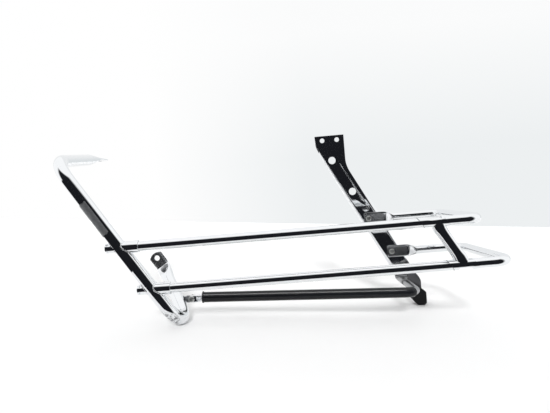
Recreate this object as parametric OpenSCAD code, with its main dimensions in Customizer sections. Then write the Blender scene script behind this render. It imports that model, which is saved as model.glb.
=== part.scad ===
// Saddlebag guard of bent chrome tube for a touring motorbike, in millimetres.
// X runs along the two rails towards the rear of the bike, Y inboard, Z up.
// The pieces are drawn from the point where the upper rail meets the front hoop, and
// placed() then sets the origin between the two holes at the top of the bracket arm.

/* [Front hoop] */
// Outer diameter of the hoop tube
hoop_od = 25.4; // [22:0.1:30]
// Wall of the hoop tube
hoop_wall = 2; // [1.5:0.1:3]
// Lean of the hoop from upright
hoop_lean = 32.8; // [26:0.1:38]
// Straight run of the hoop above the upper rail
hoop_up = 160.6; // [140:0.1:200]
// Straight run of the hoop below the lower rail
hoop_down = 41.3; // [27:0.1:81]
// Centre line radius of the top bend
top_bend_r = 50; // [40:1:60]
// Turn of the top bend
top_bend_angle = 83.4; // [78:0.1:90]
// Round part of the upper leg
top_leg = 139; // [110:1:180]
// Centre line radius of the bottom bend
bottom_bend_r = 38; // [36:1:46]
// Turn of the bottom bend
bottom_bend_angle = 139.4; // [130:0.1:145]
// Round part of the lower leg
bottom_leg = 82; // [75:1:110]

/* [Flattened ends of the hoop] */
// Length over which the upper leg is pinched flat
top_pinch = 60; // [45:1:80]
// Length of the flat at the upper end
top_flat = 40; // [34:1:60]
// Width of the flat at the upper end
top_flat_w = 34; // [28:1:38]
// Length over which the lower leg is pinched flat
bottom_pinch = 43; // [35:1:60]
// Length of the lower tab past its crease
tab_len = 33; // [30:1:50]
// Width of the lower tab
tab_w = 30; // [26:1:36]
// Thickness of the pinched tube
pinch_t = 4.4; // [3.6:0.1:6]
// Bore in the upper flat
top_bore = 11; // [8:0.5:13]
// Bore in the lower tab
tab_bore = 12; // [8:0.5:13]

/* [Rails] */
// Outer diameter of the rails and of the rear loops
rail_od = 19; // [17:0.1:20]
// Wall of the rails and loops
rail_wall = 1.8; // [1.5:0.1:2.5]
// Distance between the axes of the two rails
rail_pitch = 83; // [76:1:100]
// Outer diameter of the welded sockets that hold the rails
socket_od = 23.6; // [23.2:0.1:25]
// Length of a socket over the front end of a rail
socket_grip = 12; // [9:1:26]
// Gap between the hoop and the front end of a rail
rail_gap = 2.8; // [2.3:0.1:4.8]
// Radial clearance where a tube sits in or over another piece
slip = 0.15; // [0.1:0.05:0.3]

/* [Rail bolts] */
// Diameter of the rail bolts
rail_bolt_d = 10; // [8:1:12]
// Diameter of their heads and of the bosses under them
bolt_head_d = 18.6; // [17:0.1:20]
// Height of their heads
bolt_head_h = 5; // [4:0.5:8]
// Least length of the boss under a head
boss_stand = 1.4; // [1:0.1:6.5]
// Length of the plug in the front end of a rail
plug_len = 34; // [25:1:50]

/* [Rear link] */
// Middle of the link on the upper rail
link_x = 591.5; // [560:0.1:712]
// Lean of the link web
link_lean = 30.4; // [24:0.1:36]
// Lean of the joint faces
joint_lean = 32.8; // [20:0.1:36]
// Outer diameter of the link sleeves
sleeve_od = 20.4; // [20.1:0.1:23]
// Sleeve in front of the web
sleeve_front = 27; // [22:1:40]
// Sleeve behind the web
sleeve_back = 20; // [18:1:40]
// Diameter of the web
web_d = 22.4; // [14:0.1:24]
// Spigot inside each tube
spigot_len = 22; // [15:1:40]
// Open joint between a sleeve and a tube
joint_gap = 0.4; // [0.2:0.1:1]

/* [Rear loops] */
// From the web to the axis of a loop's inboard leg
loop_reach = 85; // [70:1:110]
// Centre line radius of the loop bends
loop_bend_r = 30; // [27:1:40]
// Depth from a rail to the returning run behind it
loop_depth = 252; // [220:1:300]
// Flat end of a loop on the arm
loop_flat = 46; // [40:1:60]
// Length over which a loop is pinched flat
loop_pinch = 22; // [20:1:30]
// Height of the flat end
loop_flat_h = 28; // [24:1:30]
// Thickness of the flat end
loop_flat_t = 3.6; // [3:0.1:5]
// Bolt to the end of the flat
loop_bolt_edge = 10; // [9:0.5:14]

/* [Bracket arm] */
// Thickness of the arm plate
arm_t = 3; // [2:0.1:4]
// Lean of the arm from upright
arm_lean = 27.7; // [22:0.1:32]
// Flat width of the arm
arm_w = 31; // [28:1:40]
// Middle of the arm level with the upper rail
arm_x = 517.5; // [480:0.1:620]
// Height of the top edge above the upper rail
arm_top = 206; // [190:1:240]
// Width of the pad at the top
pad_w = 63; // [58:1:80]
// From the middle of the arm at the upper rail to the middle of the pad
pad_shift = -83; // [-95:1:-70]
// Depth of the side flanges
flange_h = 13; // [9:0.5:20]
// Outer radius of the rolled edges
roll_r = 6; // [4:0.5:8]
// Distance between the two holes at the top
pad_hole_pitch = 35; // [30:1:42]
// Their distance from the top edge
pad_hole_edge = 11; // [9:1:16]
// Their diameter
pad_hole_d = 11; // [8:0.5:12]
// Diameter of the two large holes
big_hole_d = 17.5; // [14:0.5:20]
// Height of the upper large hole above the upper rail
upper_hole_z = 146; // [130:1:155]
// Height of the lower large hole above the upper rail
lower_hole_z = 68; // [64:1:90]
// Width of the pressed panel between the rolled edges
panel_w = 20; // [12:1:24]
// Depth of the pressed panel
panel_depth = 1.2; // [0.6:0.1:1.5]
// Depth of the tongue in the foot boot
tongue_len = 27; // [20:1:35]

/* [Lower strut] */
// Outer diameter of the strut tube
strut_od = 15.9; // [14:0.1:17]
// Wall of the strut tube
strut_wall = 1.6; // [1.5:0.1:2.5]
// Wall of the black sleeve on it
sleeve_wall = 2.4; // [1.5:0.1:4]
// Depth of the strut behind the rails
strut_depth = 85; // [80:1:110]
// Fall of the strut towards the rear
strut_fall = 3.2; // [1:0.1:5]
// Centre line radius of its rear bend
strut_bend_r = 28; // [25:1:36]
// Diameter of the strut and loop bolts
small_bolt_d = 8; // [6:1:8]
// Length over which the rear end is pinched flat
strut_pinch = 24; // [20:1:30]
// Turn of the black sleeve round the rear bend
sleeve_turn = 40; // [10:1:60]
// Height of the eye at its front end
eye_h = 14.4; // [13.6:0.1:17]

/* [Foot boot] */
// Width of the rubber boot
boot_w = 35; // [33:1:50]
// Depth of the boot
boot_d = 31; // [26:1:40]
// Height of the boot
boot_h = 39; // [36:1:50]

/* [Film on the hoop] */
// Distance of the film's lower end from the upper rail, along the hoop
film_from = 35; // [30:1:60]
// Length of the film
film_len = 73; // [50:1:95]
// Thickness of the film
film_t = 0.5; // [0.3:0.1:1]

/* [Hidden] */
$fn = 96;

chrome = [0.86, 0.87, 0.88];
dark_chrome = [0.35, 0.36, 0.38];
black_rubber = [0.09, 0.09, 0.1];
zinc = [0.72, 0.72, 0.7];
satin_grey = [0.5, 0.5, 0.52];

RAILS = [0, -rail_pitch];
bolt_clear = 0.5;
touch = 0.05;
// A bend reaches this far over the straight tube next to it, and is this much thicker
lap = 1;
swell = 0.1;
// A flaring end starts this much smaller than its tube, and a narrowing end twice as much
pinch_step = 0.3;
big = 400;

// Place on the hoop: distance up its axis and depth behind the rails
function on_hoop(up, depth) = [-up * sin(hoop_lean), depth, up * cos(hoop_lean)];
// Where the axis of the hoop or of the link web stands at height z
function hoop_x(z) = -z * tan(hoop_lean);
function link_mid(z) = link_x - z * tan(link_lean);

// How far a leaning hoop reaches along X at the rim of a cylinder of diameter d
function hoop_reach(d) = hoop_od / 2 / cos(hoop_lean) + d / 2 * tan(hoop_lean);
rail_start = hoop_reach(rail_od) + rail_gap;
socket_len = rail_start + socket_grip;
boss_len = hoop_reach(bolt_head_d) + boss_stand;

top_leg_up = hoop_up + top_bend_r * sin(top_bend_angle);
top_leg_depth = top_bend_r * (1 - cos(top_bend_angle));
top_total = top_leg + top_pinch;
top_flat_at = on_hoop(top_leg_up + top_total * cos(top_bend_angle),
    top_leg_depth + top_total * sin(top_bend_angle));

low_run = hoop_down + rail_pitch / cos(hoop_lean);
low_leg_up = -low_run - bottom_bend_r * sin(bottom_bend_angle);
low_leg_depth = bottom_bend_r * (1 - cos(bottom_bend_angle));
low_total = bottom_leg + bottom_pinch;
tab_at = on_hoop(low_leg_up - low_total * cos(bottom_bend_angle),
    low_leg_depth + low_total * sin(bottom_bend_angle));

arm_y = loop_depth + rail_od / 2 + 0.4;
arm_back = arm_y + arm_t;
arm_half = arm_w / cos(arm_lean) / 2;
pad_x = arm_x + pad_shift;
pad_hole_z = arm_top - pad_hole_edge;
// Middle of the arm, and the height at which an edge of the pad meets its slope
function arm_mid(z) = arm_x - z * tan(arm_lean);
right_knee = (arm_x + arm_half - pad_x - pad_w / 2) / tan(arm_lean);
left_knee = (arm_x - arm_half - pad_x + pad_w / 2) / tan(arm_lean);
arm_foot_z = -rail_pitch - 62;
// The tongue stands to the rear of the arm's foot, and its neck is this long
tongue_w = 25;
tongue_shift = 19;
neck = 29;
tongue_x = arm_mid(arm_foot_z) + tongue_shift;
boot_top = arm_foot_z - neck;
boot_back = arm_back + 4;

loop_bolt_x = [arm_mid(0) - 5.5, arm_mid(-rail_pitch)];
small_head_d = small_bolt_d * 1.65;
small_head_h = small_bolt_d * 0.55;

// The eye lies this far behind the hoop, and the strut this far below the lower rail
eye_gap = 41.8;
strut_drop = 38.4;
eye_x = hoop_x(-rail_pitch) + hoop_od / 2 + eye_gap;
eye_back = 12.5;
strut_axis_z = -rail_pitch - strut_drop;
strut_rear_x = arm_mid(-rail_pitch - 60) - tongue_shift;
strut_run = (strut_rear_x - strut_bend_r - eye_x) / cos(strut_fall);
strut_end_z = strut_axis_z - (strut_rear_x - eye_x) * tan(strut_fall);
strut_bolt_z = -rail_pitch - 44;
strut_bolt_x = arm_mid(strut_bolt_z) - 4;
strut_plate_t = 4;
strut_plate_w = 28;
strut_plate_x = strut_bolt_x - strut_plate_w / 2 - 2;
eye_t = 6;
eye_drop = 3;
sleeve_start = 23;
lug_t = 4;
lug_y = strut_depth + eye_t / 2;
strut_stack = strut_plate_t + arm_t;
loop_stack = loop_flat_t + arm_t;
clinch_z = 25;
clinch_x = arm_mid(clinch_z) + 4;
clinch_body_d = 11;

module placed() {
    translate([-pad_x, -arm_back, -pad_hole_z]) children();
}

// Cylinder along X, Y or Z from the origin
module rod_x(d, len) {
    rotate([0, 90, 0]) cylinder(d = d, h = len);
}

module rod_y(d, len) {
    rotate([-90, 0, 0]) cylinder(d = d, h = len);
}

// Straight tube along Z, with what follows it at its end
module tube_run(od, wall, len) {
    difference() {
        cylinder(d = od, h = len);
        translate([0, 0, -1]) cylinder(d = od - 2 * wall, h = len + 2);
    }
    translate([0, 0, len]) children();
}

// Tube bent from Z towards X, with what follows it at its end
module tube_bend(od, wall, bend_r, turn) {
    over = lap / bend_r * 180 / PI;
    translate([bend_r, 0, 0])
        rotate([90, 0, 0])
        rotate([0, 0, 180 - turn - over])
        rotate_extrude(angle = turn + 2 * over)
        translate([bend_r, 0]) difference() {
            circle(d = od + swell);
            circle(d = od - 2 * wall - swell);
        }
    translate([bend_r * (1 - cos(turn)), 0, bend_r * sin(turn)])
        rotate([0, turn, 0]) children();
}

// Round slice just inside the end of a tube, on which a pinched end starts
module round_slice(od, step = pinch_step) {
    translate([0, 0, -lap]) cylinder(d = od - step, h = lap, $fn = 40);
}

// Slab just inside a flat plate, on which a pinched end finishes
module end_slab(width, depth, height) {
    translate([touch, touch, touch])
        cube([width - 2 * touch, depth - 2 * touch, height - 2 * touch]);
}

// Z along the hoop and X inboard
module hoop_plane() {
    rotate([0, -hoop_lean, 0]) rotate([0, 0, 90]) children();
}

module at_top_leg_end() {
    hoop_plane()
        translate([top_leg_depth, 0, top_leg_up])
        rotate([0, top_bend_angle, 0])
        translate([0, 0, top_leg]) children();
}

module at_low_leg_end() {
    hoop_plane() mirror([0, 0, 1])
        translate([low_leg_depth, 0, -low_leg_up])
        rotate([0, bottom_bend_angle, 0])
        translate([0, 0, bottom_leg]) children();
}

// Flat at the upper end of the hoop, level, with its bolt hole upright
module top_flat_plate() {
    end_r = 26;
    translate(top_flat_at) difference() {
        translate([0, 0, -pinch_t / 2]) linear_extrude(pinch_t) intersection() {
            translate([-top_flat_w / 2, 0]) square([top_flat_w, top_flat]);
            translate([0, top_flat - end_r]) circle(r = end_r);
        }
        translate([0, top_flat - top_flat_w / 2, -pinch_t]) cylinder(d = top_bore, h = 2 * pinch_t);
    }
}

// Tab at the lower end of the hoop, facing outboard
module tab_plate() {
    end_r = 22;
    translate(tab_at) rotate([0, -hoop_lean, 0]) rotate([90, 0, 0]) difference() {
        translate([0, 0, -pinch_t / 2]) linear_extrude(pinch_t) intersection() {
            translate([-tab_w / 2, 0]) square([tab_w, tab_len]);
            translate([0, tab_len - end_r]) circle(r = end_r);
        }
        translate([0, tab_len - tab_bore, -pinch_t]) cylinder(d = tab_bore, h = 2 * pinch_t);
    }
}

module front_hoop() {
    color(chrome) placed() difference() {
        union() {
            hoop_plane() translate([0, 0, -low_run])
                tube_run(hoop_od, hoop_wall, low_run + hoop_up)
                tube_bend(hoop_od, hoop_wall, top_bend_r, top_bend_angle)
                tube_run(hoop_od, hoop_wall, top_leg);
            hoop_plane() mirror([0, 0, 1]) translate([0, 0, low_run])
                tube_bend(hoop_od, hoop_wall, bottom_bend_r, bottom_bend_angle)
                tube_run(hoop_od, hoop_wall, bottom_leg);
            hull() {
                at_top_leg_end() round_slice(hoop_od);
                translate(top_flat_at) translate([-top_flat_w / 2, 0, -pinch_t / 2])
                    end_slab(top_flat_w, lap, pinch_t);
            }
            hull() {
                at_low_leg_end() round_slice(hoop_od);
                translate(tab_at) rotate([0, -hoop_lean, 0])
                    translate([-tab_w / 2, -pinch_t / 2, 0]) end_slab(tab_w, pinch_t, lap);
            }
            top_flat_plate();
            tab_plate();
        }
        for (z = RAILS)
            translate([hoop_x(z) - hoop_od, 0, z]) rod_x(rail_bolt_d + bolt_clear, 2 * hoop_od);
    }
}

// Film wrapped round the hoop above the upper rail
module hoop_film() {
    bare_side = -69;
    film_od = hoop_od + 2 * slip + 2 * film_t;
    color(satin_grey) placed() hoop_plane() translate([0, 0, film_from]) difference() {
        cylinder(d = film_od, h = film_len);
        translate([0, 0, -1]) cylinder(d = hoop_od + 2 * slip, h = film_len + 2);
        // The film is a strip, so it leaves the rear and the right of the tube bare
        rotate([0, 0, bare_side]) translate([0, -hoop_od, -1])
            cube([hoop_od, 2 * hoop_od, film_len + 2]);
    }
}

module hoop_cylinder(d) {
    hoop_plane() translate([0, 0, -big / 2]) cylinder(d = d, h = big);
}

// Welded tube that meets the hoop in a saddle and holds the end of a rail
module rail_socket(z) {
    color(chrome) placed() difference() {
        translate([hoop_x(z), 0, z]) difference() {
            rod_x(socket_od, socket_len);
            translate([-1, 0, 0]) rod_x(rail_od + 2 * slip, socket_len + 2);
        }
        hoop_cylinder(hoop_od + 2 * touch);
    }
}

// Welded boss in front of the hoop, under the head of a rail bolt
module bolt_boss(z) {
    color(chrome) placed() difference() {
        translate([hoop_x(z) - boss_len, 0, z]) difference() {
            rod_x(bolt_head_d, boss_len);
            translate([-1, 0, 0]) rod_x(rail_bolt_d + bolt_clear, boss_len + 2);
        }
        hoop_cylinder(hoop_od + 2 * touch);
    }
}

module rail_bolt(z) {
    shank = boss_len + rail_start + plug_len - 6;
    hex = 8;
    color(chrome) placed() translate([hoop_x(z) - boss_len, 0, z]) {
        difference() {
            translate([-bolt_head_h, 0, 0]) rod_x(bolt_head_d, bolt_head_h);
            translate([-bolt_head_h - 1, 0, 0]) rotate([0, 90, 0])
                cylinder(d = hex / cos(30), h = bolt_head_h * 0.6 + 1, $fn = 6);
        }
        rod_x(rail_bolt_d, shank);
    }
}

// Threaded plug fixed in the front end of a rail
module rail_plug(z) {
    color(zinc) placed() translate([hoop_x(z) + rail_start, 0, z]) difference() {
        rod_x(rail_od - 2 * rail_wall - 2 * slip, plug_len);
        translate([-1, 0, 0]) rod_x(rail_bolt_d + 2 * slip, plug_len + 2);
    }
}

// Everything in front of a leaning joint face that crosses the rail at x
module in_front_of(x, z) {
    translate([x, 0, z]) rotate([0, -joint_lean, 0])
        translate([-2 * big, -big / 2, -big / 2]) cube([2 * big, big, big]);
}

module behind(x, z) {
    translate([x, 0, z]) rotate([0, -joint_lean, 0])
        translate([0, -big / 2, -big / 2]) cube([2 * big, big, big]);
}

module rail(z) {
    start = hoop_x(z) + rail_start;
    finish = link_mid(z) - sleeve_front - joint_gap;
    color(chrome) placed() difference() {
        translate([start, 0, z]) difference() {
            rod_x(rail_od, finish - start + rail_od);
            translate([-1, 0, 0]) rod_x(rail_od - 2 * rail_wall, finish - start + rail_od + 2);
        }
        behind(finish, z);
    }
}

// Sleeve and the two spigots that the tubes slide over
module link_sleeve(z) {
    spigot_d = rail_od - 2 * rail_wall - 2 * slip;
    front = link_mid(z) - sleeve_front;
    back = link_mid(z) + sleeve_back;
    difference() {
        translate([front - sleeve_od, 0, z]) rod_x(sleeve_od, back - front + 2 * sleeve_od);
        in_front_of(front, z);
        behind(back, z);
    }
    translate([front - spigot_len, 0, z]) rod_x(spigot_d, back - front + 2 * spigot_len);
}

// Cast link with a leaning web that flares into a sleeve on each rail
module rear_link() {
    web_len = rail_pitch / cos(link_lean);
    flare = 24;
    flare_front = 17;
    flare_back = 12;
    color(chrome) placed() {
        for (z = RAILS) link_sleeve(z);
        translate([link_x, 0, 0]) rotate([0, 180 - link_lean, 0]) cylinder(d = web_d, h = web_len);
        for (z = RAILS) hull() {
            side = z == 0 ? -1 : 1;
            translate([link_mid(z + side * flare), 0, z + side * flare])
                rotate([0, -link_lean, 0]) cylinder(d = web_d - 0.2, h = 0.5, center = true, $fn = 32);
            translate([link_mid(z) - flare_front, 0, z]) rod_x(sleeve_od - 0.8, flare_front + flare_back, $fn = 32);
        }
    }
}

// Loop from the link round the rear of the bag to its flat end on the arm
module rear_loop(i) {
    z = RAILS[i];
    joint_x = link_mid(z) + sleeve_back + joint_gap;
    leg_x = link_mid(z) + loop_reach;
    start = joint_x - rail_od;
    first = leg_x - loop_bend_r - start;
    across = loop_depth - 2 * loop_bend_r;
    flat_end = loop_bolt_x[i] - loop_bolt_edge;
    pinch_at = flat_end + loop_flat + loop_pinch;
    back_run = leg_x - loop_bend_r - pinch_at;
    flat_y = arm_y - loop_flat_t;
    color(chrome) placed() difference() {
        union() {
            difference() {
                translate([start, 0, z]) rotate([90, 0, 90])
                    tube_run(rail_od, rail_wall, first)
                    tube_bend(rail_od, rail_wall, loop_bend_r, 90)
                    tube_run(rail_od, rail_wall, across)
                    tube_bend(rail_od, rail_wall, loop_bend_r, 90)
                    tube_run(rail_od, rail_wall, back_run);
                intersection() {
                    in_front_of(joint_x, z);
                    translate([joint_x - 2 * big, -rail_od, z - rail_od])
                        cube([2 * big + rail_od, 2 * rail_od, 2 * rail_od]);
                }
            }
            hull() {
                translate([pinch_at, loop_depth, z]) rotate([0, -90, 0]) round_slice(rail_od);
                translate([flat_end + loop_flat - lap, flat_y, z - loop_flat_h / 2])
                    end_slab(lap, loop_flat_t, loop_flat_h);
            }
            translate([flat_end, flat_y + loop_flat_t, z]) rotate([90, 0, 0])
                linear_extrude(loop_flat_t) intersection() {
                    translate([0, -loop_flat_h / 2]) square([loop_flat, loop_flat_h]);
                    translate([loop_flat, 0]) circle(r = loop_flat + 1);
                }
        }
        translate([loop_bolt_x[i], flat_y - 1, z]) rod_y(small_bolt_d + bolt_clear, loop_flat_t + 2);
    }
}

// Rolled edge and flange along Z: the plate lies towards -X, the flange runs back
module rolled_edge(len) {
    linear_extrude(len) {
        difference() {
            translate([0, roll_r]) circle(r = roll_r);
            translate([0, roll_r]) circle(r = roll_r - arm_t);
            translate([-2 * roll_r, -roll_r]) square([2 * roll_r, 4 * roll_r]);
            translate([-roll_r, roll_r]) square([3 * roll_r, 2 * roll_r]);
        }
        translate([roll_r - arm_t, roll_r]) square([arm_t, flange_h - roll_r]);
        translate([-1, 0]) square([1, arm_t]);
    }
}

// Pressed arm: a pad with two holes, a leaning channel and a tongue for the boot
module bracket_arm() {
    foot = arm_mid(arm_foot_z);
    // The plate's left edge steps in above the neck of the tongue
    step_in = 8;
    step_down = 9;
    neck_top = boot_top + 10;
    slope_len = (left_knee - arm_foot_z) / cos(arm_lean);
    right_len = (right_knee - arm_foot_z) / cos(arm_lean);
    color(dark_chrome) placed() difference() {
        union() {
            translate([0, arm_back, 0]) rotate([90, 0, 0]) linear_extrude(arm_t) polygon([
                [pad_x - pad_w / 2, arm_top], [pad_x + pad_w / 2, arm_top],
                [pad_x + pad_w / 2, right_knee], [foot + arm_half, arm_foot_z],
                [tongue_x + tongue_w / 2, boot_top], [tongue_x + tongue_w / 2, boot_top - tongue_len],
                [tongue_x - tongue_w / 2, boot_top - tongue_len], [tongue_x - tongue_w / 2, neck_top],
                [foot - arm_half + step_in, arm_foot_z - step_down], [foot - arm_half, arm_foot_z],
                [pad_x - pad_w / 2, left_knee]]);
            translate([foot + arm_half, arm_y, arm_foot_z]) rotate([0, -arm_lean, 0])
                rolled_edge(right_len);
            translate([foot - arm_half, arm_y, arm_foot_z]) rotate([0, -arm_lean, 0])
                mirror([1, 0, 0]) rolled_edge(slope_len);
            translate([pad_x + pad_w / 2, arm_y, right_knee]) rolled_edge(arm_top - right_knee);
            translate([0, arm_back + panel_depth, 0]) rotate([90, 0, 0])
                linear_extrude(2 * panel_depth) pressed_panel();
        }
        translate([0, arm_y + panel_depth, 0]) rotate([90, 0, 0]) linear_extrude(arm_t) pressed_panel();
        for (side = [-1, 1]) through_arm(pad_x + side * pad_hole_pitch / 2, pad_hole_z, pad_hole_d);
        through_arm(arm_mid(upper_hole_z) - 4, upper_hole_z, big_hole_d);
        through_arm(arm_mid(lower_hole_z) - 2, lower_hole_z, big_hole_d);
        through_arm(clinch_x, clinch_z, clinch_body_d + bolt_clear);
        for (i = [0, 1]) through_arm(loop_bolt_x[i], RAILS[i], small_bolt_d + bolt_clear);
        through_arm(strut_bolt_x, strut_bolt_z, small_bolt_d + bolt_clear);
    }
}

// Outline of the panel pressed into the face, with an S-shaped lower end by the clinch nut
module pressed_panel() {
    half = panel_w / 2;
    low = 48;
    high = upper_hole_z + 14;
    difference() {
        union() {
            polygon([[arm_mid(low) - half, low], [arm_mid(low) + half, low],
                [arm_mid(high) + half, high], [arm_mid(high) - half, high]]);
            translate([arm_mid(high), high]) circle(r = half);
            translate([arm_mid(low) + half - 8, low]) circle(r = 8);
        }
        translate([arm_mid(low) - half, low - 2]) circle(r = 8);
    }
}

module through_arm(x, z, d) {
    translate([x, arm_y - 1, z]) rod_y(d, arm_t + 2);
}

// Nut pressed into the arm, with its collar on the outboard face
module arm_clinch_nut() {
    color(chrome) placed() translate([clinch_x, arm_y, clinch_z]) difference() {
        union() {
            translate([0, -1.2, 0]) rod_y(15.6, 1.2);
            rod_y(clinch_body_d, arm_t + 5);
        }
        translate([0, -2, 0]) rod_y(6.5, arm_t + 8);
    }
}

// Button head bolt along Y, its domed head outboard of the clamped stack
module small_bolt(x, y, z, stack) {
    dome_r = small_head_d * 0.62;
    hex = small_bolt_d * 0.62;
    color(zinc) placed() translate([x, y, z]) {
        rotate([90, 0, 0]) difference() {
            intersection() {
                cylinder(d = small_head_d, h = small_head_h);
                translate([0, 0, small_head_h - dome_r]) sphere(r = dome_r);
            }
            translate([0, 0, small_head_h * 0.45])
                cylinder(d = hex / cos(30), h = small_head_h, $fn = 6);
        }
        rod_y(small_bolt_d, stack + small_bolt_d * 1.1);
    }
}

// Hexagon nut with its outer corners chamfered
module small_nut(x, y, z) {
    across = small_head_d * 1.08;
    height = small_bolt_d * 0.8;
    color(zinc) placed() translate([x, y, z]) rotate([-90, 30, 0]) difference() {
        intersection() {
            cylinder(d = across, h = height, $fn = 6);
            cylinder(d1 = across + 3 * height, d2 = across * 0.88, h = height);
        }
        translate([0, 0, -1]) cylinder(d = small_bolt_d + 2 * slip, h = height + 2);
    }
}

// Tube with an eye at the front, a long straight run and a bend inboard to the arm
module lower_strut() {
    taper = 12;
    taper_start = sleeve_start - taper - 1;
    leg_len = arm_y - strut_depth - strut_bend_r - strut_pinch;
    plate_low = strut_end_z - strut_od / 2;
    plate_top = strut_bolt_z + strut_plate_w / 2;
    drain_d = 4;
    color(chrome) placed() difference() {
        union() {
            translate([eye_x, strut_depth, strut_axis_z]) rotate([0, strut_fall, 0]) {
                translate([taper_start + taper, 0, 0]) rotate([90, 0, 90])
                    tube_run(strut_od, strut_wall, strut_run - taper_start - taper)
                    tube_bend(strut_od, strut_wall, strut_bend_r, 90)
                    tube_run(strut_od, strut_wall, leg_len);
                hull() {
                    translate([taper_start + taper, 0, 0]) rotate([0, -90, 0])
                        round_slice(strut_od, 2 * pinch_step);
                    translate([taper_start, -eye_t / 2, -eye_h / 2 - eye_drop])
                        end_slab(lap, eye_t, eye_h);
                }
                translate([-eye_back, -eye_t / 2, -eye_h / 2 - eye_drop])
                    cube([eye_back + taper_start + lap, eye_t, eye_h]);
            }
            hull() {
                translate([strut_rear_x, arm_y - strut_pinch, strut_end_z]) rotate([-90, 0, 0])
                    round_slice(strut_od, 2 * pinch_step);
                translate([strut_plate_x, arm_y - strut_plate_t, plate_low])
                    end_slab(strut_plate_w, strut_plate_t, strut_od);
            }
            translate([strut_plate_x, arm_y - strut_plate_t, plate_low])
                cube([strut_plate_w, strut_plate_t, plate_top - plate_low]);
        }
        translate([eye_x, strut_depth - 10, strut_axis_z - eye_drop]) rod_y(small_bolt_d + bolt_clear, 20);
        translate([strut_bolt_x, arm_y - 10, strut_bolt_z]) rod_y(small_bolt_d + bolt_clear, 20);
        // Drain hole for the plating bath
        translate([strut_rear_x, strut_depth + leg_len / 2, strut_end_z - strut_od])
            cylinder(d = drain_d, h = strut_od);
    }
}

// Black sleeve with a lip at the front, drawn over the strut and into its rear bend
module strut_sleeve() {
    outer = strut_od + 2 * slip + 2 * sleeve_wall;
    lip_len = 3;
    lip_h = 1.5;
    color(black_rubber) placed()
        translate([eye_x, strut_depth, strut_axis_z]) rotate([0, strut_fall, 0])
        translate([sleeve_start, 0, 0]) {
            rotate([90, 0, 90])
                tube_run(outer, sleeve_wall, strut_run - sleeve_start)
                tube_bend(outer, sleeve_wall, strut_bend_r, sleeve_turn);
            difference() {
                rod_x(outer + 2 * lip_h, lip_len);
                translate([-1, 0, 0]) rod_x(outer - sleeve_wall, lip_len + 2);
            }
        }
}

// Plate welded to the lower leg of the hoop, behind the eye of the strut
module strut_lug() {
    eye_z = strut_axis_z - eye_drop;
    color(chrome) placed() difference() {
        translate([0, lug_y + lug_t, 0]) rotate([90, 0, 0]) linear_extrude(lug_t) polygon([
            [eye_x + 9.5, eye_z + 6], [eye_x + 9.5, eye_z - 7], [eye_x - 11, eye_z - 7],
            [eye_x - 13, eye_z - 25], [eye_x - 22, eye_z - 22], [eye_x - 45, eye_z + 10],
            [eye_x - 32, eye_z + 20], [eye_x - 16, eye_z + 6]]);
        translate([eye_x, lug_y - 1, eye_z]) rod_y(small_bolt_d + bolt_clear, lug_t + 2);
        hoop_plane() mirror([0, 0, 1]) translate([low_leg_depth, 0, -low_leg_up])
            rotate([0, bottom_bend_angle, 0]) cylinder(d = hoop_od + 2 * touch, h = bottom_leg);
    }
}

// Rubber boot pushed over the tongue of the arm
module foot_boot() {
    cut = 9;
    color(black_rubber) placed() difference() {
        translate([tongue_x - boot_w / 2, boot_back, 0]) rotate([90, 0, 0]) linear_extrude(boot_d)
            polygon([[0, boot_top], [boot_w - cut, boot_top], [boot_w, boot_top - cut],
                [boot_w, boot_top - boot_h + cut / 2], [boot_w - cut / 2, boot_top - boot_h],
                [cut * 1.6, boot_top - boot_h], [0, boot_top - boot_h + cut * 2]]);
        translate([tongue_x - tongue_w / 2 - slip, arm_y - slip, boot_top - tongue_len - slip])
            cube([tongue_w + 2 * slip, arm_t + 2 * slip, tongue_len + 1]);
    }
}

front_hoop();
hoop_film();
rail_socket(RAILS[0]);  // upper_rail_socket
rail_socket(RAILS[1]);  // lower_rail_socket
bolt_boss(RAILS[0]);  // upper_bolt_boss
bolt_boss(RAILS[1]);  // lower_bolt_boss
rail_bolt(RAILS[0]);  // upper_rail_bolt
rail_bolt(RAILS[1]);  // lower_rail_bolt
rail_plug(RAILS[0]);  // upper_rail_plug
rail_plug(RAILS[1]);  // lower_rail_plug
rail(RAILS[0]);  // upper_rail
rail(RAILS[1]);  // lower_rail
rear_link();
rear_loop(0);  // upper_rear_loop
rear_loop(1);  // lower_rear_loop
bracket_arm();
arm_clinch_nut();
small_bolt(loop_bolt_x[0], arm_y - loop_flat_t, RAILS[0], loop_stack);  // upper_loop_bolt
small_bolt(loop_bolt_x[1], arm_y - loop_flat_t, RAILS[1], loop_stack);  // lower_loop_bolt
small_nut(loop_bolt_x[0], arm_back, RAILS[0]);  // upper_loop_nut
small_nut(loop_bolt_x[1], arm_back, RAILS[1]);  // lower_loop_nut
lower_strut();
strut_sleeve();
strut_lug();
small_bolt(eye_x, strut_depth - eye_t / 2, strut_axis_z - eye_drop, eye_t + lug_t);  // strut_front_bolt
small_nut(eye_x, lug_y + lug_t, strut_axis_z - eye_drop);  // strut_front_nut
small_bolt(strut_bolt_x, arm_y - strut_plate_t, strut_bolt_z, strut_stack);  // strut_rear_bolt
small_nut(strut_bolt_x, arm_back, strut_bolt_z);  // strut_rear_nut
foot_boot();
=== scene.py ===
"""Finished look of a chrome saddlebag guard for a touring motorbike.

Lengths in this file are millimetres unless a name ends in _m. Points are given from the
place where the upper rail meets the front hoop: X along the rails towards the rear of the
bike, Y inboard, Z up. guard_point() turns such a point into the CAD frame, in metres.
"""

import math

import bmesh
import bpy
from mathutils import Matrix, Vector


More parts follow.
